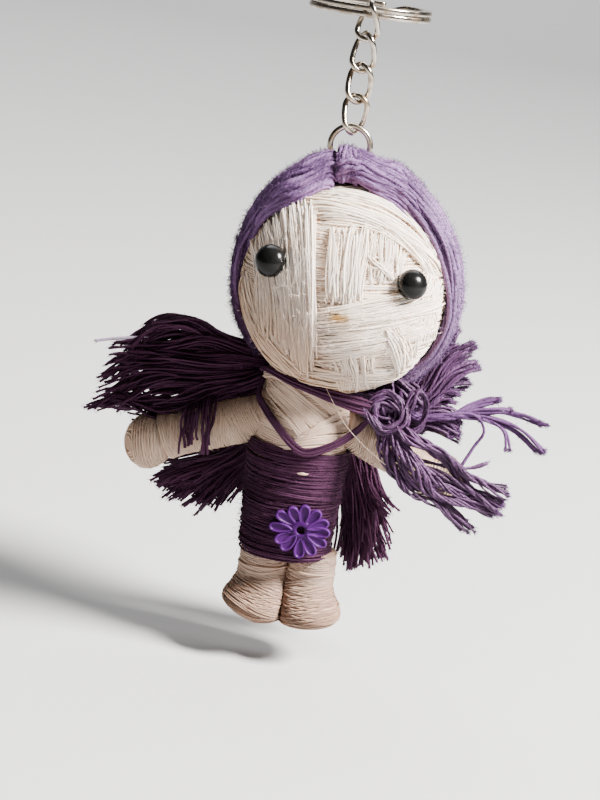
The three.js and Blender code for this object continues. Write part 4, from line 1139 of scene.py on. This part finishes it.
def right_knot():
    """The neck tie ends in a knot of two loops at the right, round the root of the right pigtail."""
    strands = []
    for k in range(5):
        spread = (k - 2) * 0.6
        deep = chance.uniform(-0.7, 0.7)
        loop = [(9.6, -8.9, -76.6 + spread), (12.6, -9.4 + deep, -79.8 - spread * 0.4),
                (15.4, -9.8 + deep, -81.6 - spread * 0.6), (18.2 + spread * 0.4, -9.2 + deep, -79.2),
                (17.6, -8.8 + deep, -75.7 + spread), (14.6, -8.8 - deep, -74.6 + spread),
                (12.3 - spread * 0.5, -9.2, -77.2), (13.6, -8.0, -80.4)]
        strands += cord(loop, 4, 0.4, 0.27, 9.0, 60)
    for k in range(3):
        spread = (k - 1) * 0.7
        loop = [(17.6, -7.8, -80.8), (19.3 + spread, -8.8, -76.8),
                (20.6 + spread * 0.6, -8.2, -72.9 + spread * 0.3), (23.0 + spread * 0.3, -7.2, -75.4),
                (22.4, -7.4, -79.8), (19.4, -8.2, -82.6)]
        strands += cord(loop, 3, 0.32, 0.25, 9.0, 50)
    for k in range(8):
        centre = np.array((16.6 + 0.4 * k, -5.6 + chance.uniform(-1, 1), -77.6 + chance.uniform(-2.0, 2.0)))
        axis = unit(np.array((1.0, -0.3, -0.4)) + chance.normal(size=3) * 0.5)
        loop = ring_path(centre, axis, chance.uniform(1.4, 2.6), 22) + sway(22, 0.3, True)
        strands.append(strand(loop, 0.4, True))
    for k in range(16):
        centre = np.array((14.9, -7.4, -78.0)) + chance.normal(size=3) * np.array((1.1, 0.5, 1.0))
        axis = unit(np.array((0.0, -1.0, 0.2)) + chance.normal(size=3) * 0.7)
        loop = ring_path(centre, axis, chance.uniform(0.9, 2.7), 22, chance.uniform(0.6, 1.0))
        loop = loop + sway(22, 0.3, True)
        strands.append(strand(loop, 0.4 * chance.uniform(0.8, 1.15), True))
    strands += binding(middle("pigtail_tie_right"), (1.0, -0.1, -0.2), 2.9)
    string_piece("right_knot", strands, VIOLET, ("pigtail_tie_right",), ROUND_SIDES)
    parts = fuzz(strands, 600, 1.0)
    string_piece("right_knot_fibres", fibre_strands(parts, 0.04), LILAC)


def right_pigtail():
    root = HEAD + unit(RIGHT_GATHER) * 20.5
    tie = middle("pigtail_tie_right")
    brushes = (
        ((25.4, -1.6, -68.2), (31.4, -1.0, -62.4), 13, 1.1),
        ((26.6, -1.8, -70.2), (33.0, -1.0, -66.8), 13, 1.2),
        ((27.0, -0.6, -72.6), (31.8, 0.0, -70.8), 12, 1.5),
        ((24.6, 0.2, -69.4), (28.2, 0.6, -64.6), 12, 1.4),
        ((25.8, -1.2, -74.6), (30.2, -1.2, -74.8), 12, 1.6),
        ((26.0, -2.2, -78.2), (31.4, -2.6, -79.6), 12, 1.5),
        ((25.4, -2.6, -80.6), (31.2, -3.4, -82.8), 12, 1.4),
        ((24.4, 0.0, -66.0), (27.2, -0.4, -58.8), 6, 0.6),
    )
    inner = (
        (5.0, 3.0, -75.6), (10.5, -1.0, -76.6), tie + np.array((-1.0, 0.6, 0.4)),
        tie + np.array((3.0, 0.6, 0.8)))
    # The inner, nape, behind and under locks take only darker tones: painted shade
    strands = lock(inner, 34, (2.0, 2.6, 2.4, 1.6), 1.2, (0.9, 1.0), 0.5, 14, 0.4, (0.0, 0.4))
    nape = ((12.0, 5.0, -65.5), (17.0, 2.6, -69.6), (21.6, 0.4, -73.6), (25.0, -0.5, -77.0))
    strands += lock(nape, 30, (2.0, 2.8, 2.8, 2.2), 1.0, (0.9, 1.0), 0.5, 14, 0.42, (0.0, 0.5))
    behind = ((9.0, -1.0, -78.0), (14.0, -2.6, -79.6), (19.0, -2.6, -80.6), (24.0, -2.4, -80.8))
    strands += lock(behind, 36, (2.2, 2.6, 2.6, 2.0), 0.8, (0.9, 1.0), 0.5, 14, 0.42, (0.0, 0.3))
    under = ((13.0, -0.6, -70.2), (16.4, -2.2, -72.6), (19.4, -3.2, -74.6), (22.2, -3.6, -77.4))
    strands += lock(under, 26, (1.8, 2.0, 2.0, 1.8), 0.9, (0.9, 1.0), 0.5, 14, 0.4, (0.0, 0.5))
    for bend, end, count, spread in brushes:
        sizes = (1.7, 1.9, 1.7, 0.85 * spread)
        strands += lock((root, tie, bend, end), 2 * count, sizes, 0.9, (0.86, 1.0), 0.5, 18, 0.36, wave=0.5)
    start = [root, tie + np.array((1.5, -1.6, 0)), (26.5, -4.2, -78.0)]
    singles = (
        ((33.2, -3.2, -75.9), (38.6, -2.4, -74.7), (42.4, -2.0, -75.0)),
        ((33.2, -3.0, -75.4), (37.4, -2.2, -73.9), (40.0, -2.0, -73.2)),
        ((33.4, -3.0, -76.2), (41.5, -2.2, -75.6), (49.6, -2.0, -77.2)),
        ((33.4, -2.6, -76.8), (41.5, -1.8, -76.2), (50.2, -1.8, -77.9)),
        ((33.4, -3.4, -76.8), (42.0, -2.8, -78.4), (49.2, -3.0, -82.9)),
        ((33.4, -3.0, -77.4), (41.6, -2.2, -79.0), (48.6, -2.6, -83.6)),
        ((33.0, -3.6, -76.9), (39.0, -3.0, -78.9), (41.0, -3.0, -82.2), (41.4, -3.0, -86.0)),
        ((33.0, -4.0, -77.0), (35.8, -4.2, -79.8), (34.1, -4.8, -83.6), (30.6, -7.4, -90.6)),
        ((32.6, -2.4, -75.0), (36.0, -1.4, -73.8), (38.6, -1.2, -73.6)),
        ((32.0, -3.6, -77.6), (34.0, -3.6, -77.2), (36.2, -3.4, -77.6)),
    )
    tails = []
    for knots in singles:
        tails += cord([*start, *knots], 2, 0.22, 0.33, 14.0, 44, (0.3, 1.0))
    strand_piece("pigtail_strands_right", strands, ("pigtail_right",), VIOLET, 14, 1.7, fibres=LILAC)
    strand_piece("pigtail_tails_right", tails, ("pigtail_right",), LILAC, 60, 1.5, 90, ROUND_SIDES)


def right_lower_pigtail():
    groups = (
        (2, (15.6, -8.4, -80.0), (19.6, -9.8, -82.8), (26.6, -9.6, -84.6), (32.6, -7.8, -88.8),
         (42.4, -5.2, -92.6)),
        (2, (15.4, -8.4, -81.0), (19.4, -10.0, -85.0), (25.6, -9.8, -88.0), (33.0, -7.6, -91.0),
         (42.6, -5.2, -94.8)),
        (2, (15.4, -8.4, -81.4), (17.6, -9.8, -86.6), (22.6, -9.8, -91.0), (31.6, -7.6, -92.4),
         (41.4, -5.2, -96.6)),
        (1, (16.0, -8.0, -80.8), (22.0, -10.2, -84.6), (28.6, -9.4, -90.4), (33.6, -7.4, -92.6),
         (41.6, -5.0, -95.4)),
        (3, (15.2, -8.2, -81.4), (16.6, -9.4, -86.4), (20.6, -9.2, -91.4), (28.0, -7.2, -94.4),
         (36.6, -4.4, -100.8)),
        (2, (17.0, -8.2, -80.2), (22.6, -10.0, -83.0), (29.4, -9.2, -86.8), (34.0, -7.6, -91.6),
         (41.0, -5.2, -96.8)),
        (2, (16.2, -8.2, -80.6), (18.8, -10.0, -84.0), (23.0, -10.4, -87.4), (27.6, -9.2, -92.6),
         (40.6, -5.2, -94.2)),
    )
    strands = []
    for cords, *knots in groups:
        for _ in range(cords):
            shift = chance.normal(size=3) * 0.5
            strands += cord(np.array(knots) + shift, 5, 0.55, 0.27, 11.0, 50, (0.0, 0.8))
    tail = ((22.0, -8.4, -86.5), (29.5, -6.6, -87.6), (34.0, -5.0, -87.6), (37.4, -4.2, -86.2))
    strands.append(yarn(smooth_path(tail, 18), 0.42))
    strand_piece(
        "pigtail_strands_lower", strands, ("pigtail_right_lower",), VIOLET, 16, 1.8, 20, ROUND_SIDES, LILAC)


def back_tassels():
    tassels = {
        "left": ((-3.5, 12.0, -71.5), (-6.6, 12.2, -81.5), (
            (-13.5, -96.0, -30.4, -105.4), (-12.8, -96.5, -28.0, -108.4), (-12.4, -97.0, -25.0, -109.6),
            (-11.8, -97.0, -22.0, -109.8), (-11.2, -97.0, -18.4, -108.8), (-10.6, -96.0, -14.8, -107.0),
            (-14.0, -94.0, -30.8, -101.6), (-12.2, -95.0, -23.6, -104.6))),
        "right": ((6.8, 12.0, -71.5), (8.2, 12.2, -83.0), (
            (10.2, -99.0, 11.6, -115.8), (10.8, -99.6, 13.8, -117.8), (11.6, -99.6, 15.8, -117.4),
            (12.4, -99.6, 17.8, -116.8), (13.2, -99.0, 20.0, -115.8), (14.2, -97.0, 20.8, -112.0),
            (14.2, -95.0, 20.4, -104.6), (12.0, -98.0, 17.0, -112.0))),
    }
    for label, (root, neck, ends) in tassels.items():
        strands = []
        for bend_x, bend_z, end_x, end_z in ends:
            start = np.array(root) + np.array((chance.uniform(-1, 1), chance.uniform(-1, 1), 0))
            deep = 12.0 + chance.uniform(-1.6, 1.6)
            knots = (start, neck, (bend_x, deep, bend_z), (end_x, deep - 1.5, end_z))
            strands += lock(knots, 42, (1.3, 1.8, 2.1, 2.1), 1.0, (0.82, 1.0), 0.9, radius=0.26, wave=0.8)
        strand_piece(f"back_strands_{label}", strands, (f"back_hair_{label}",), PLUM, 5, 1.8)


# Body
def body_half_width(z):
    """Half width of the body at a height."""
    heights = (HEM_Z, DRESS_TOP_Z, TIE_Z - 4.2, TIE_Z - 1.3, TIE_Z + 4)
    return np.interp(z, heights, (HEM_HALF_W, CHEST_HALF_W, CHEST_HALF_W, NECK_HALF_W, NECK_HALF_W - 0.6))


def body_loop(height, slope, layer, count=56):
    """A loop round the body, tilted sideways by a slope."""
    turn = np.linspace(0, TURN, count, endpoint=False)
    z = height - slope * CHEST_HALF_W * np.cos(turn)
    half = body_half_width(z) + layer
    return np.column_stack((BODY_X + half * np.cos(turn), half * DEPTH_RATIO * np.sin(turn), z))


def chest_band(starts, ends, count, layer, bow):
    """Strings side by side across the chest, with their ends tucked under."""
    made = []
    starts, ends = np.array(starts), np.array(ends)
    t = np.linspace(0, 1, 16)
    for share in (np.arange(count) + 0.5) / count:
        start = starts[0] + share * (starts[1] - starts[0]) + chance.normal(size=2) * 0.2
        end = ends[0] + share * (ends[1] - ends[0]) + chance.normal(size=2) * 0.3
        run = end - start
        square = np.array((-run[1], run[0])) / np.linalg.norm(run)
        arch = np.sin(np.pi * t)
        flat = start + t[:, None] * run + (arch * (bow + chance.normal() * 0.2))[:, None] * square
        tuck = 1.4 * (1 - np.minimum(1, arch * 2.4)) ** 2
        half = body_half_width(flat[:, 1]) + layer - tuck
        x = np.clip(flat[:, 0], -half * 0.985, half * 0.985)
        y = -DEPTH_RATIO * np.sqrt(half**2 - x**2)
        path = np.column_stack((BODY_X + x, y, flat[:, 1]))
        made.append(strand(path, STRING_R * chance.uniform(0.85, 1.15)))
    return made


def body():
    profile = [
        (0, HEM_Z + 0.2), (HEM_HALF_W - 0.2, HEM_Z + 0.2), (CHEST_HALF_W - 0.2, DRESS_TOP_Z),
        (CHEST_HALF_W - 0.2, TIE_Z - 4.3), (NECK_HALF_W - 0.1, TIE_Z - 1.3), (NECK_HALF_W - 0.6, TIE_Z + 5),
        (0, TIE_Z + 5)]
    shape = turned(profile, 44)
    bmesh.ops.scale(shape, verts=shape.verts, vec=(1, DEPTH_RATIO, 1))
    bmesh.ops.translate(shape, verts=shape.verts, vec=(BODY_X, 0, 0))
    pad = show("body_pad", mesh_of(shape, "body_pad"), CREAM_PAD, replaced=("body_core",))
    strands = []
    for height in np.arange(-91.5, -72.6, STRING_STEP):
        strands.append(strand(body_loop(height, 0.03, 0.0) + sway(56, 0.1, True), STRING_R, True))
    strands += chest_band(((-10.0, -80.0), (-10.4, -90.0)), ((10.0, -82.5), (10.4, -90.0)), 32, 0.2, -1.0)
    strands += chest_band(((-10.4, -77.6), (-4.6, -72.9)), ((2.4, -87.4), (9.2, -79.8)), 50, 0.5, 0.8)
    strands += chest_band(((10.6, -86.2), (9.6, -79.4)), ((-4.6, -88.4), (2.0, -83.6)), 42, 0.8, -0.8)
    strands += chest_band(((-10.2, -74.6), (-9.8, -76.0)), ((-4.4, -73.0), (-5.2, -75.4)), 9, 1.0, 1.0)
    string_piece("chest_strings", strands, CHEST_STRING, ("body_core",))
    parts = fuzz(strands, 900, 1.0, np.array((0.0, 0.0, -82.0)), lambda p: -86 < p[2] < -76)
    parts += fuzz(strands, 300, 3.0, np.array((0.0, 0.0, -82.0)), lambda p: -85 < p[2] < -77, 9.0)
    string_piece("chest_fibres", fibre_strands(parts), CHEST_STRING)


def dress():
    top = DRESS_TOP_Z + 1.6
    centre = np.array((BODY_X, 0, (HEM_Z + top) / 2))
    strands = []
    for height in np.arange(HEM_Z + 0.3, top, 0.3):
        share = (height - HEM_Z) / (top - HEM_Z)
        slope = 0.035 * share + chance.normal() * 0.01
        loop = body_loop(height, slope, chance.uniform(0.3, 0.5) + 0.35 * share, 64) + sway(64, 0.16, True)
        strands.append(strand(loop, 0.23 * chance.uniform(0.8, 1.15), True))
    for height in np.linspace(HEM_Z + 1.2, top - 0.4, 52):
        loop = body_loop(height, chance.uniform(-0.05, 0.09), chance.uniform(0.65, 0.9), 64)
        loop = loop + sway(64, 0.25, True)
        strands.append(strand(loop, 0.19 * chance.uniform(0.8, 1.15), True))
    string_piece("dress_strings", strands, PLUM, ("dress_winding",))
    parts = fuzz(strands, 2600, 1.2, centre) + fuzz(strands, 3000, 4.0, centre, None, 9.0)
    string_piece("dress_fibres", fibre_strands(parts), PLUM)
    gap = (
        (-0.9, -10.1, -92.7), (-0.4, -10.4, -92.7), (0.3, -10.5, -92.6), (1.0, -10.4, -92.6),
        (1.5, -10.1, -92.5))
    bulge = (0.04, 0.12, 0.2, 0.26, 0.28, 0.26, 0.2, 0.12, 0.04)
    showing = strand(smooth_path(gap, len(bulge)), bulge, tone=0.3)
    string_piece("string_in_gap", [showing], CREAM)


def neck_tie():
    """Strings round the neck, close together at the left and gathered into the knot at the right."""
    strands = []
    for k in range(8):
        rise = (k - 3.5) * 0.3
        deep = chance.uniform(-0.35, 0.35)
        front = [(9.5, 3.5, TIE_Z + 0.6), (0, 8.4, TIE_Z + 1.0), (-8.6, 4.6, TIE_Z + 2.6),
                 (-11.0, -2.4, TIE_Z + 3.6),
                 (-9.6, -7.4 + deep, -73.0 + rise * 0.35), (-4.8, -9.2 + deep, -74.3 + rise * 0.6),
                 (0.6, -10.2 + deep, -75.4 + rise * 0.8), (5.0, -10.5 + deep, -76.2 + rise * 1.1),
                 (9.0, -10.2 + deep, -77.0 + rise * 1.3), (13.0, -9.2, -77.6 + rise)]
        strands.append(strand(smooth_path(front, 52) + sway(52, 0.2), 0.3))
    string_piece("neck_strings", strands, PLUM, ("neck_tie",))


def halter_strap():
    strands = []
    for k, shift in enumerate((-0.66, -0.33, 0.0, 0.33, 0.66)):
        knots = [(-10.6, -0.6, TIE_Z + 1.8), (-11.0, -3.4, TIE_Z - 1.2), (-9.6, -6.1, TIE_Z - 3.0),
                 (-6.4, -9.0, TIE_Z - 6.0), (-3.1, -10.3, TIE_Z - 8.8), (0.1, -10.7, TIE_Z - 10.3),
                 (4.0, -10.2, TIE_Z - 8.9), (7.8, -8.9, TIE_Z - 6.6), (10.6, -8.0, TIE_Z - 3.9),
                 (12.4, -8.0, TIE_Z - 1.0)]
        path = smooth_path(knots, 40)
        forward = unit(np.gradient(path, axis=0))
        outward = unit(path * np.array((1, 1.2, 0)))
        path = path + np.cross(forward, outward) * shift + sway(40, 0.16)
        strands.append(strand(path, 0.29, tone=0.04 + 0.08 * k))
    string_piece("halter_strings", strands, PLUM, ("halter_strap",))


def loose_thread():
    """A single cream thread that has come away from the face and lies over the chest."""
    knots = (
        (0.4, -14.6, -70.2), (3.6, -12.6, -75.6), (7.3, -11.9, -80.8), (11.8, -11.4, -84.8),
        (16.6, -10.6, -88.2))
    string_piece("loose_thread", [strand(smooth_path(knots, 26), 0.04, tone=0.5)], CREAM)


def flower():
    """Twelve long cupped petals round a small middle with one hole."""
    low, high = corners("flower_button")
    centre = (low + high) / 2
    petals, thick = 12, 1.15
    shape = bmesh.new()
    # The rim values mark painted light: 1 on the raised rims, 0.7 at the outer edges, 0.25 in the cups
    rim_layer = shape.verts.layers.float.new("rim")
    for index in range(petals):
        earlier = set(shape.verts)
        made = bmesh.ops.create_circle(shape, cap_ends=True, segments=16, radius=1.0)
        for vert in made["verts"]:
            along = vert.co.x
            vert.co = (along * 2.7, vert.co.y * (1.36 + 0.42 * along), 0)
        face = made["verts"][0].link_faces[0]
        top = bmesh.ops.extrude_face_region(shape, geom=[face])
        lifted = [v for v in top["geom"] if isinstance(v, bmesh.types.BMVert)]
        upper = next(f for f in top["geom"] if isinstance(f, bmesh.types.BMFace))
        bmesh.ops.translate(shape, verts=lifted, vec=(0, 0, thick))
        for vert in lifted:
            vert[rim_layer] = 0.7
        bmesh.ops.inset_region(shape, faces=[upper], thickness=0.42, depth=0.28)
        for vert in upper.verts:
            vert[rim_layer] = 1.0
        bmesh.ops.inset_region(shape, faces=[upper], thickness=0.24, depth=-0.3)
        for vert in upper.verts:
            vert[rim_layer] = 0.25
        bmesh.ops.inset_region(shape, faces=[upper], thickness=0.2, depth=-0.15)
        whole = [v for v in shape.verts if v not in earlier]
        tip = Matrix.Rotation(math.radians(chance.uniform(-13, 9)), 3, "Y")
        bmesh.ops.rotate(shape, verts=whole, cent=(0, 0, 0.5), matrix=tip)
        bmesh.ops.translate(shape, verts=whole, vec=(3.95 + chance.uniform(-0.3, 0.3), 0, 0))
        turn = Matrix.Rotation(TURN * (index + chance.uniform(-0.14, 0.14)) / petals, 3, "Z")
        bmesh.ops.rotate(shape, verts=whole, cent=(0, 0, 0), matrix=turn)
    hole_r = 0.85
    dish = turned([
        (hole_r, 0.0), (2.6, 0.0), (2.6, 0.8), (2.0, 1.25), (1.45, 1.35), (1.1, 1.3), (hole_r, 1.0),
        (hole_r, 0.0)], 36)
    middle_mesh = bpy.data.meshes.new("flower_middle")
    dish.to_mesh(middle_mesh)
    dish.free()
    shape.from_mesh(middle_mesh)
    bmesh.ops.remove_doubles(shape, verts=shape.verts, dist=1e-4)
    bmesh.ops.scale(shape, verts=shape.verts, vec=(0.97, 0.88, 1))
    upright = Matrix.Rotation(math.radians(90), 3, "X")
    bmesh.ops.rotate(shape, verts=shape.verts, cent=(0, 0, 0), matrix=upright)
    bmesh.ops.translate(shape, verts=shape.verts, vec=(centre[0] - 0.3, high[1], centre[2] - 0.1))
    piece = show("flower", mesh_of(shape, "flower"), FLOWER, replaced=("flower_button",))
    rounding = piece.modifiers.new("rounding", "SUBSURF")
    rounding.levels = 2
    rounding.render_levels = 2


# Limbs
def limb_loops(start, axis, first, last, radius, tilt, step=STRING_STEP, layer=0.0):
    """Loops of string round a straight limb, each a little tilted."""
    made = []
    axis = unit(axis)
    for along in np.arange(first, last, step):
        lean = unit(axis + chance.normal(size=3) * 0.016 + np.asarray(tilt))
        reach = radius(along) - STRING_R + layer + chance.uniform(-0.04, 0.04)
        loop = ring_path(np.asarray(start) + axis * along, lean, reach, 28) + sway(28, 0.09, True)
        made.append(strand(loop, STRING_R * chance.uniform(0.85, 1.1), True))
    return made


def oval_wrap(centre, half_sizes, axis, step=STRING_STEP, layer=0.0):
    """Loops side by side round an oval form with the given half sizes, about an axis of its own."""
    made = []
    half_sizes = np.asarray(half_sizes) + layer
    for offset in np.arange(-0.985, 0.99, step / half_sizes.mean()):
        lean = unit(np.asarray(axis, float) + chance.normal(size=3) * 0.015)
        ring_r = math.sqrt(max(0.01, 1 - offset**2))
        count = max(10, int(34 * ring_r))
        placed = ring_path(lean * offset, lean, ring_r, count) * half_sizes
        placed = np.asarray(centre) + placed + sway(count, 0.09, True)
        made.append(strand(placed, STRING_R * chance.uniform(0.85, 1.1), True))
    return made


def oval_pad(centre, half_sizes):
    shape = bmesh.new()
    bmesh.ops.create_uvsphere(shape, u_segments=32, v_segments=20, radius=1.0)
    bmesh.ops.scale(shape, verts=shape.verts, vec=half_sizes)
    bmesh.ops.translate(shape, verts=shape.verts, vec=centre)
    lumpy(shape, centre, 0.12, 2.5)
    return shape


def arm(side, label):
    droop = math.radians(ARM_DROOP_DEG)
    axis = np.array((side * math.cos(droop), 0, -math.sin(droop)))
    root = np.array((0, 0, ARM_ROOT_Z))
    wrist = HAND_MIDDLE[side] - 3.1
    profile = [(0, 6.0), (ARM_R - 0.3, 6.0), (ARM_R - 0.35, 20.0), (ARM_R - 0.2, wrist), (0, wrist)]
    shape = turned(profile, 28)
    turn = Vector((0, 0, 1)).rotation_difference(Vector(axis)).to_matrix()
    bmesh.ops.rotate(shape, verts=shape.verts, cent=(0, 0, 0), matrix=turn)
    bmesh.ops.translate(shape, verts=shape.verts, vec=root)
    show(f"arm_pad_{label}", mesh_of(shape, f"arm_pad_{label}"), CREAM_PAD,
         replaced=(f"arm_{label}",))

    def arm_r(along):
        return ARM_R + 0.2 * math.cos(along * 0.35) + 0.35 * ease(along, 24, 31)

    strands = limb_loops(root, axis, 9.0, wrist, arm_r, (0.0, 0.0, side * 0.1))
    strands += limb_loops(root, axis, 10.0, wrist - 2, arm_r, (0.0, 0.1, -side * 0.2), 0.55, 0.15)
    strands += limb_loops(root, axis, 11.0, 18.0, arm_r, (0.0, -0.1, side * 0.3), 0.45, 0.25)
    string_piece(f"arm_strings_{label}", strands, CREAM, (f"arm_winding_{label}",))
    centre = root + axis * HAND_MIDDLE[side] + np.array((0, 0, -0.4))
    half_sizes = HAND_HALF_SIZES[side]
    wraps = oval_wrap(centre, half_sizes, axis + np.array((0, -0.6, 0.2)))
    wraps += oval_wrap(centre, half_sizes, axis + np.array((0, 0.2, 0.1)), step=0.6, layer=0.15)[:-5]
    string_piece(f"hand_strings_{label}", wraps, CREAM, (f"hand_{label}",))
    pad = oval_pad(centre, [h - 0.1 for h in half_sizes])
    show(f"hand_pad_{label}", mesh_of(pad, f"hand_pad_{label}"), CREAM_PAD,
         replaced=(f"hand_{label}",))
    parts = fuzz(strands + wraps, 900, 1.0) + fuzz(strands + wraps, 250, 2.5, None, None, 9.0)
    string_piece(f"arm_fibres_{label}", fibre_strands(parts), CREAM)


def foot_place(side, share, turn, layer=0.0):
    """Places on the skin of a foot, from their share of the way up and their angle from its outer side."""
    share = np.clip(share, 0.0, 1.04)
    half, toe, heel = (
        np.polyval(np.polyfit(FOOT_LEVELS, sizes, 4), share) + layer
        for sizes in (FOOT_HALF_W, FOOT_TOE, FOOT_HEEL))
    along = (heel - toe) / 2 + (heel + toe) / 2 * np.sin(turn)
    spin = math.radians(TOE_OUT_DEG) * (1 - share)
    inner = FOOT_INNER_W + np.maximum(0, -along) * np.tan(spin)
    outward = np.where(np.cos(turn) > 0, half, inner) * np.cos(turn)
    across = outward * np.cos(spin) - along * np.sin(spin)
    back = outward * np.sin(spin) + along * np.cos(spin)
    rise = FOOT_TIP_UP[side] * np.maximum(0, across) * np.clip(1 - share, 0, 1) ** 1.3
    return np.column_stack((side * (LEG_X + across), back, FEET_BOTTOM_Z + FOOT_H * share + rise))


def leg(side, label):
    root = np.array((side * LEG_X, 0, HEM_Z + 1.0))
    length = HEM_Z + 1.0 - LEG_BOTTOM_Z
    shape = turned([(0, 0.5), (LEG_R - 0.35, 0.5), (LEG_R - 0.35, -length - 1), (0, -length - 1)], 28)
    bmesh.ops.translate(shape, verts=shape.verts, vec=root)
    show(f"leg_pad_{label}", mesh_of(shape, f"leg_pad_{label}"), LEG_PAD,
         replaced=(f"leg_{label}",))

    def leg_r(along):
        return LEG_R

    down = (0, 0, -1)
    strands = limb_loops(root, down, 0.2, length + 1.5, leg_r, (side * 0.05, 0.06, 0))
    strands += limb_loops(root, down, 1.0, length + 1.0, leg_r, (-side * 0.1, 0.16, 0), 0.5, 0.12)
    string_piece(f"leg_strings_{label}", strands, LEG_STRING, (f"leg_winding_{label}",))
    turn = np.linspace(0, TURN, 40, endpoint=False)
    wraps = []
    for share in np.arange(0.02, 1.03, STRING_STEP / FOOT_H):
        level = share + 0.03 * np.sin(turn + chance.uniform(0, TURN)) + chance.normal() * 0.006
        loop = foot_place(side, level, turn) + sway(40, 0.1, True)
        wraps.append(strand(loop, STRING_R * chance.uniform(0.85, 1.15), True))
    for share in np.arange(0.12, 0.86, 0.052):
        level = share + 0.16 * np.cos(turn + 0.6) + chance.normal() * 0.012
        loop = foot_place(side, level, turn, 0.14) + sway(40, 0.12, True)
        wraps.append(strand(loop, STRING_R * chance.uniform(0.8, 1.1), True))
    sole = foot_place(side, np.zeros(40), turn)
    for scale in np.arange(0.06, 1.0, 0.045):
        wraps.append(strand(sole.mean(axis=0) + scale * (sole - sole.mean(axis=0)), STRING_R, True))
    string_piece(f"foot_strings_{label}", wraps, FOOT_STRING, (f"foot_{label}",))
    shape = turned([(0, 0), *((1, share) for share in np.linspace(0, 1, 12)), (0, 1)], 36)
    for vert in shape.verts:
        skin = foot_place(side, vert.co.z, np.array((math.atan2(vert.co.y, vert.co.x),)), -0.15)[0]
        inside = foot_place(side, vert.co.z, turn).mean(axis=0)
        vert.co = inside + (skin - inside) * min(1, math.hypot(vert.co.x, vert.co.y))
    pad = mesh_of(shape, f"foot_pad_{label}")
    show(f"foot_pad_{label}", pad, LEG_PAD, replaced=(f"foot_{label}",))


# Floor and lights
def make_floor():
    """A pale floor that runs up into a wall well behind the doll."""
    level = (FEET_BOTTOM_Z - 9) * MM
    bend_r, bend_y = 0.9, 2.0
    bend = [
        (bend_y + bend_r * math.sin(a), level + bend_r - bend_r * math.cos(a))
        for a in np.radians(np.linspace(0, 90, 13))]
    shape = bmesh.new()
    points = [shape.verts.new((-6, y, z)) for y, z in ((-6, level), *bend, (2.9, 4.0))]
    edges = [shape.edges.new(pair) for pair in zip(points, points[1:])]
    swept = bmesh.ops.extrude_edge_only(shape, edges=edges)
    moved = [v for v in swept["geom"] if isinstance(v, bmesh.types.BMVert)]
    bmesh.ops.translate(shape, verts=moved, vec=(12, 0, 0))
    for face in shape.faces:
        face.smooth = True
        if face.normal.z < -0.01 or face.normal.y > 0.01:
            face.normal_flip()
    mesh = bpy.data.meshes.new("floor")
    shape.to_mesh(mesh)
    shape.free()
    floor = bpy.data.objects.new("floor", mesh)
    bpy.context.scene.collection.objects.link(floor)
    material, _, shader = new_material("pale_floor", Roughness=0.9)
    shader.inputs["Base Color"].default_value = (0.38, 0.38, 0.385, 1)
    mesh.materials.append(material)


def area_light(name, place, aim, size, watts, colour):
    data = bpy.data.lights.new(name, "AREA")
    data.shape = "DISK"
    data.size = size
    data.energy = watts
    data.color = colour
    lamp = bpy.data.objects.new(name, data)
    lamp.location = place
    lamp.rotation_euler = (Vector(aim) - Vector(place)).to_track_quat("-Z", "Y").to_euler()
    bpy.context.scene.collection.objects.link(lamp)


def make_lights():
    aim = (0.0, -0.012, -0.065)
    area_light("key_light", (0.69, -0.26, 0.62), aim, 0.35, 108.0, (1.0, 0.97, 0.93))
    area_light("fill_light", (0.6, -1.55, 0.3), aim, 2.0, 2.1, (1.0, 0.92, 0.84))
    area_light("back_light", (0.0, 1.5, 1.7), (0.0, 2.0, -0.13), 2.2, 80.0, (1.0, 0.99, 0.98))
    world = bpy.data.worlds.new("studio")
    world.use_nodes = True
    world.node_tree.nodes["Background"].inputs["Color"].default_value = (0.92, 0.93, 0.96, 1)
    world.node_tree.nodes["Background"].inputs["Strength"].default_value = 0.055
    bpy.context.scene.world = world


make_camera()
split_ring()
chain_links()
jump_ring()
head()
bead_eyes()
hair_half(-1, "left")
hair_half(1, "right")
crown_knot()
left_pigtail()
arm_wisps()
right_knot()
right_pigtail()
right_lower_pigtail()
back_tassels()
body()
dress()
neck_tie()
halter_strap()
loose_thread()
flower()
for limb_side, limb_label in ((-1, "left"), (1, "right")):
    arm(limb_side, limb_label)
    leg(limb_side, limb_label)
for wire_node in ("arm_wire", "spine_wire_left", "spine_wire_right"):
    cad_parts[wire_node].data.materials.clear()
    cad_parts[wire_node].data.materials.append(WIRE)
make_floor()
make_lights()
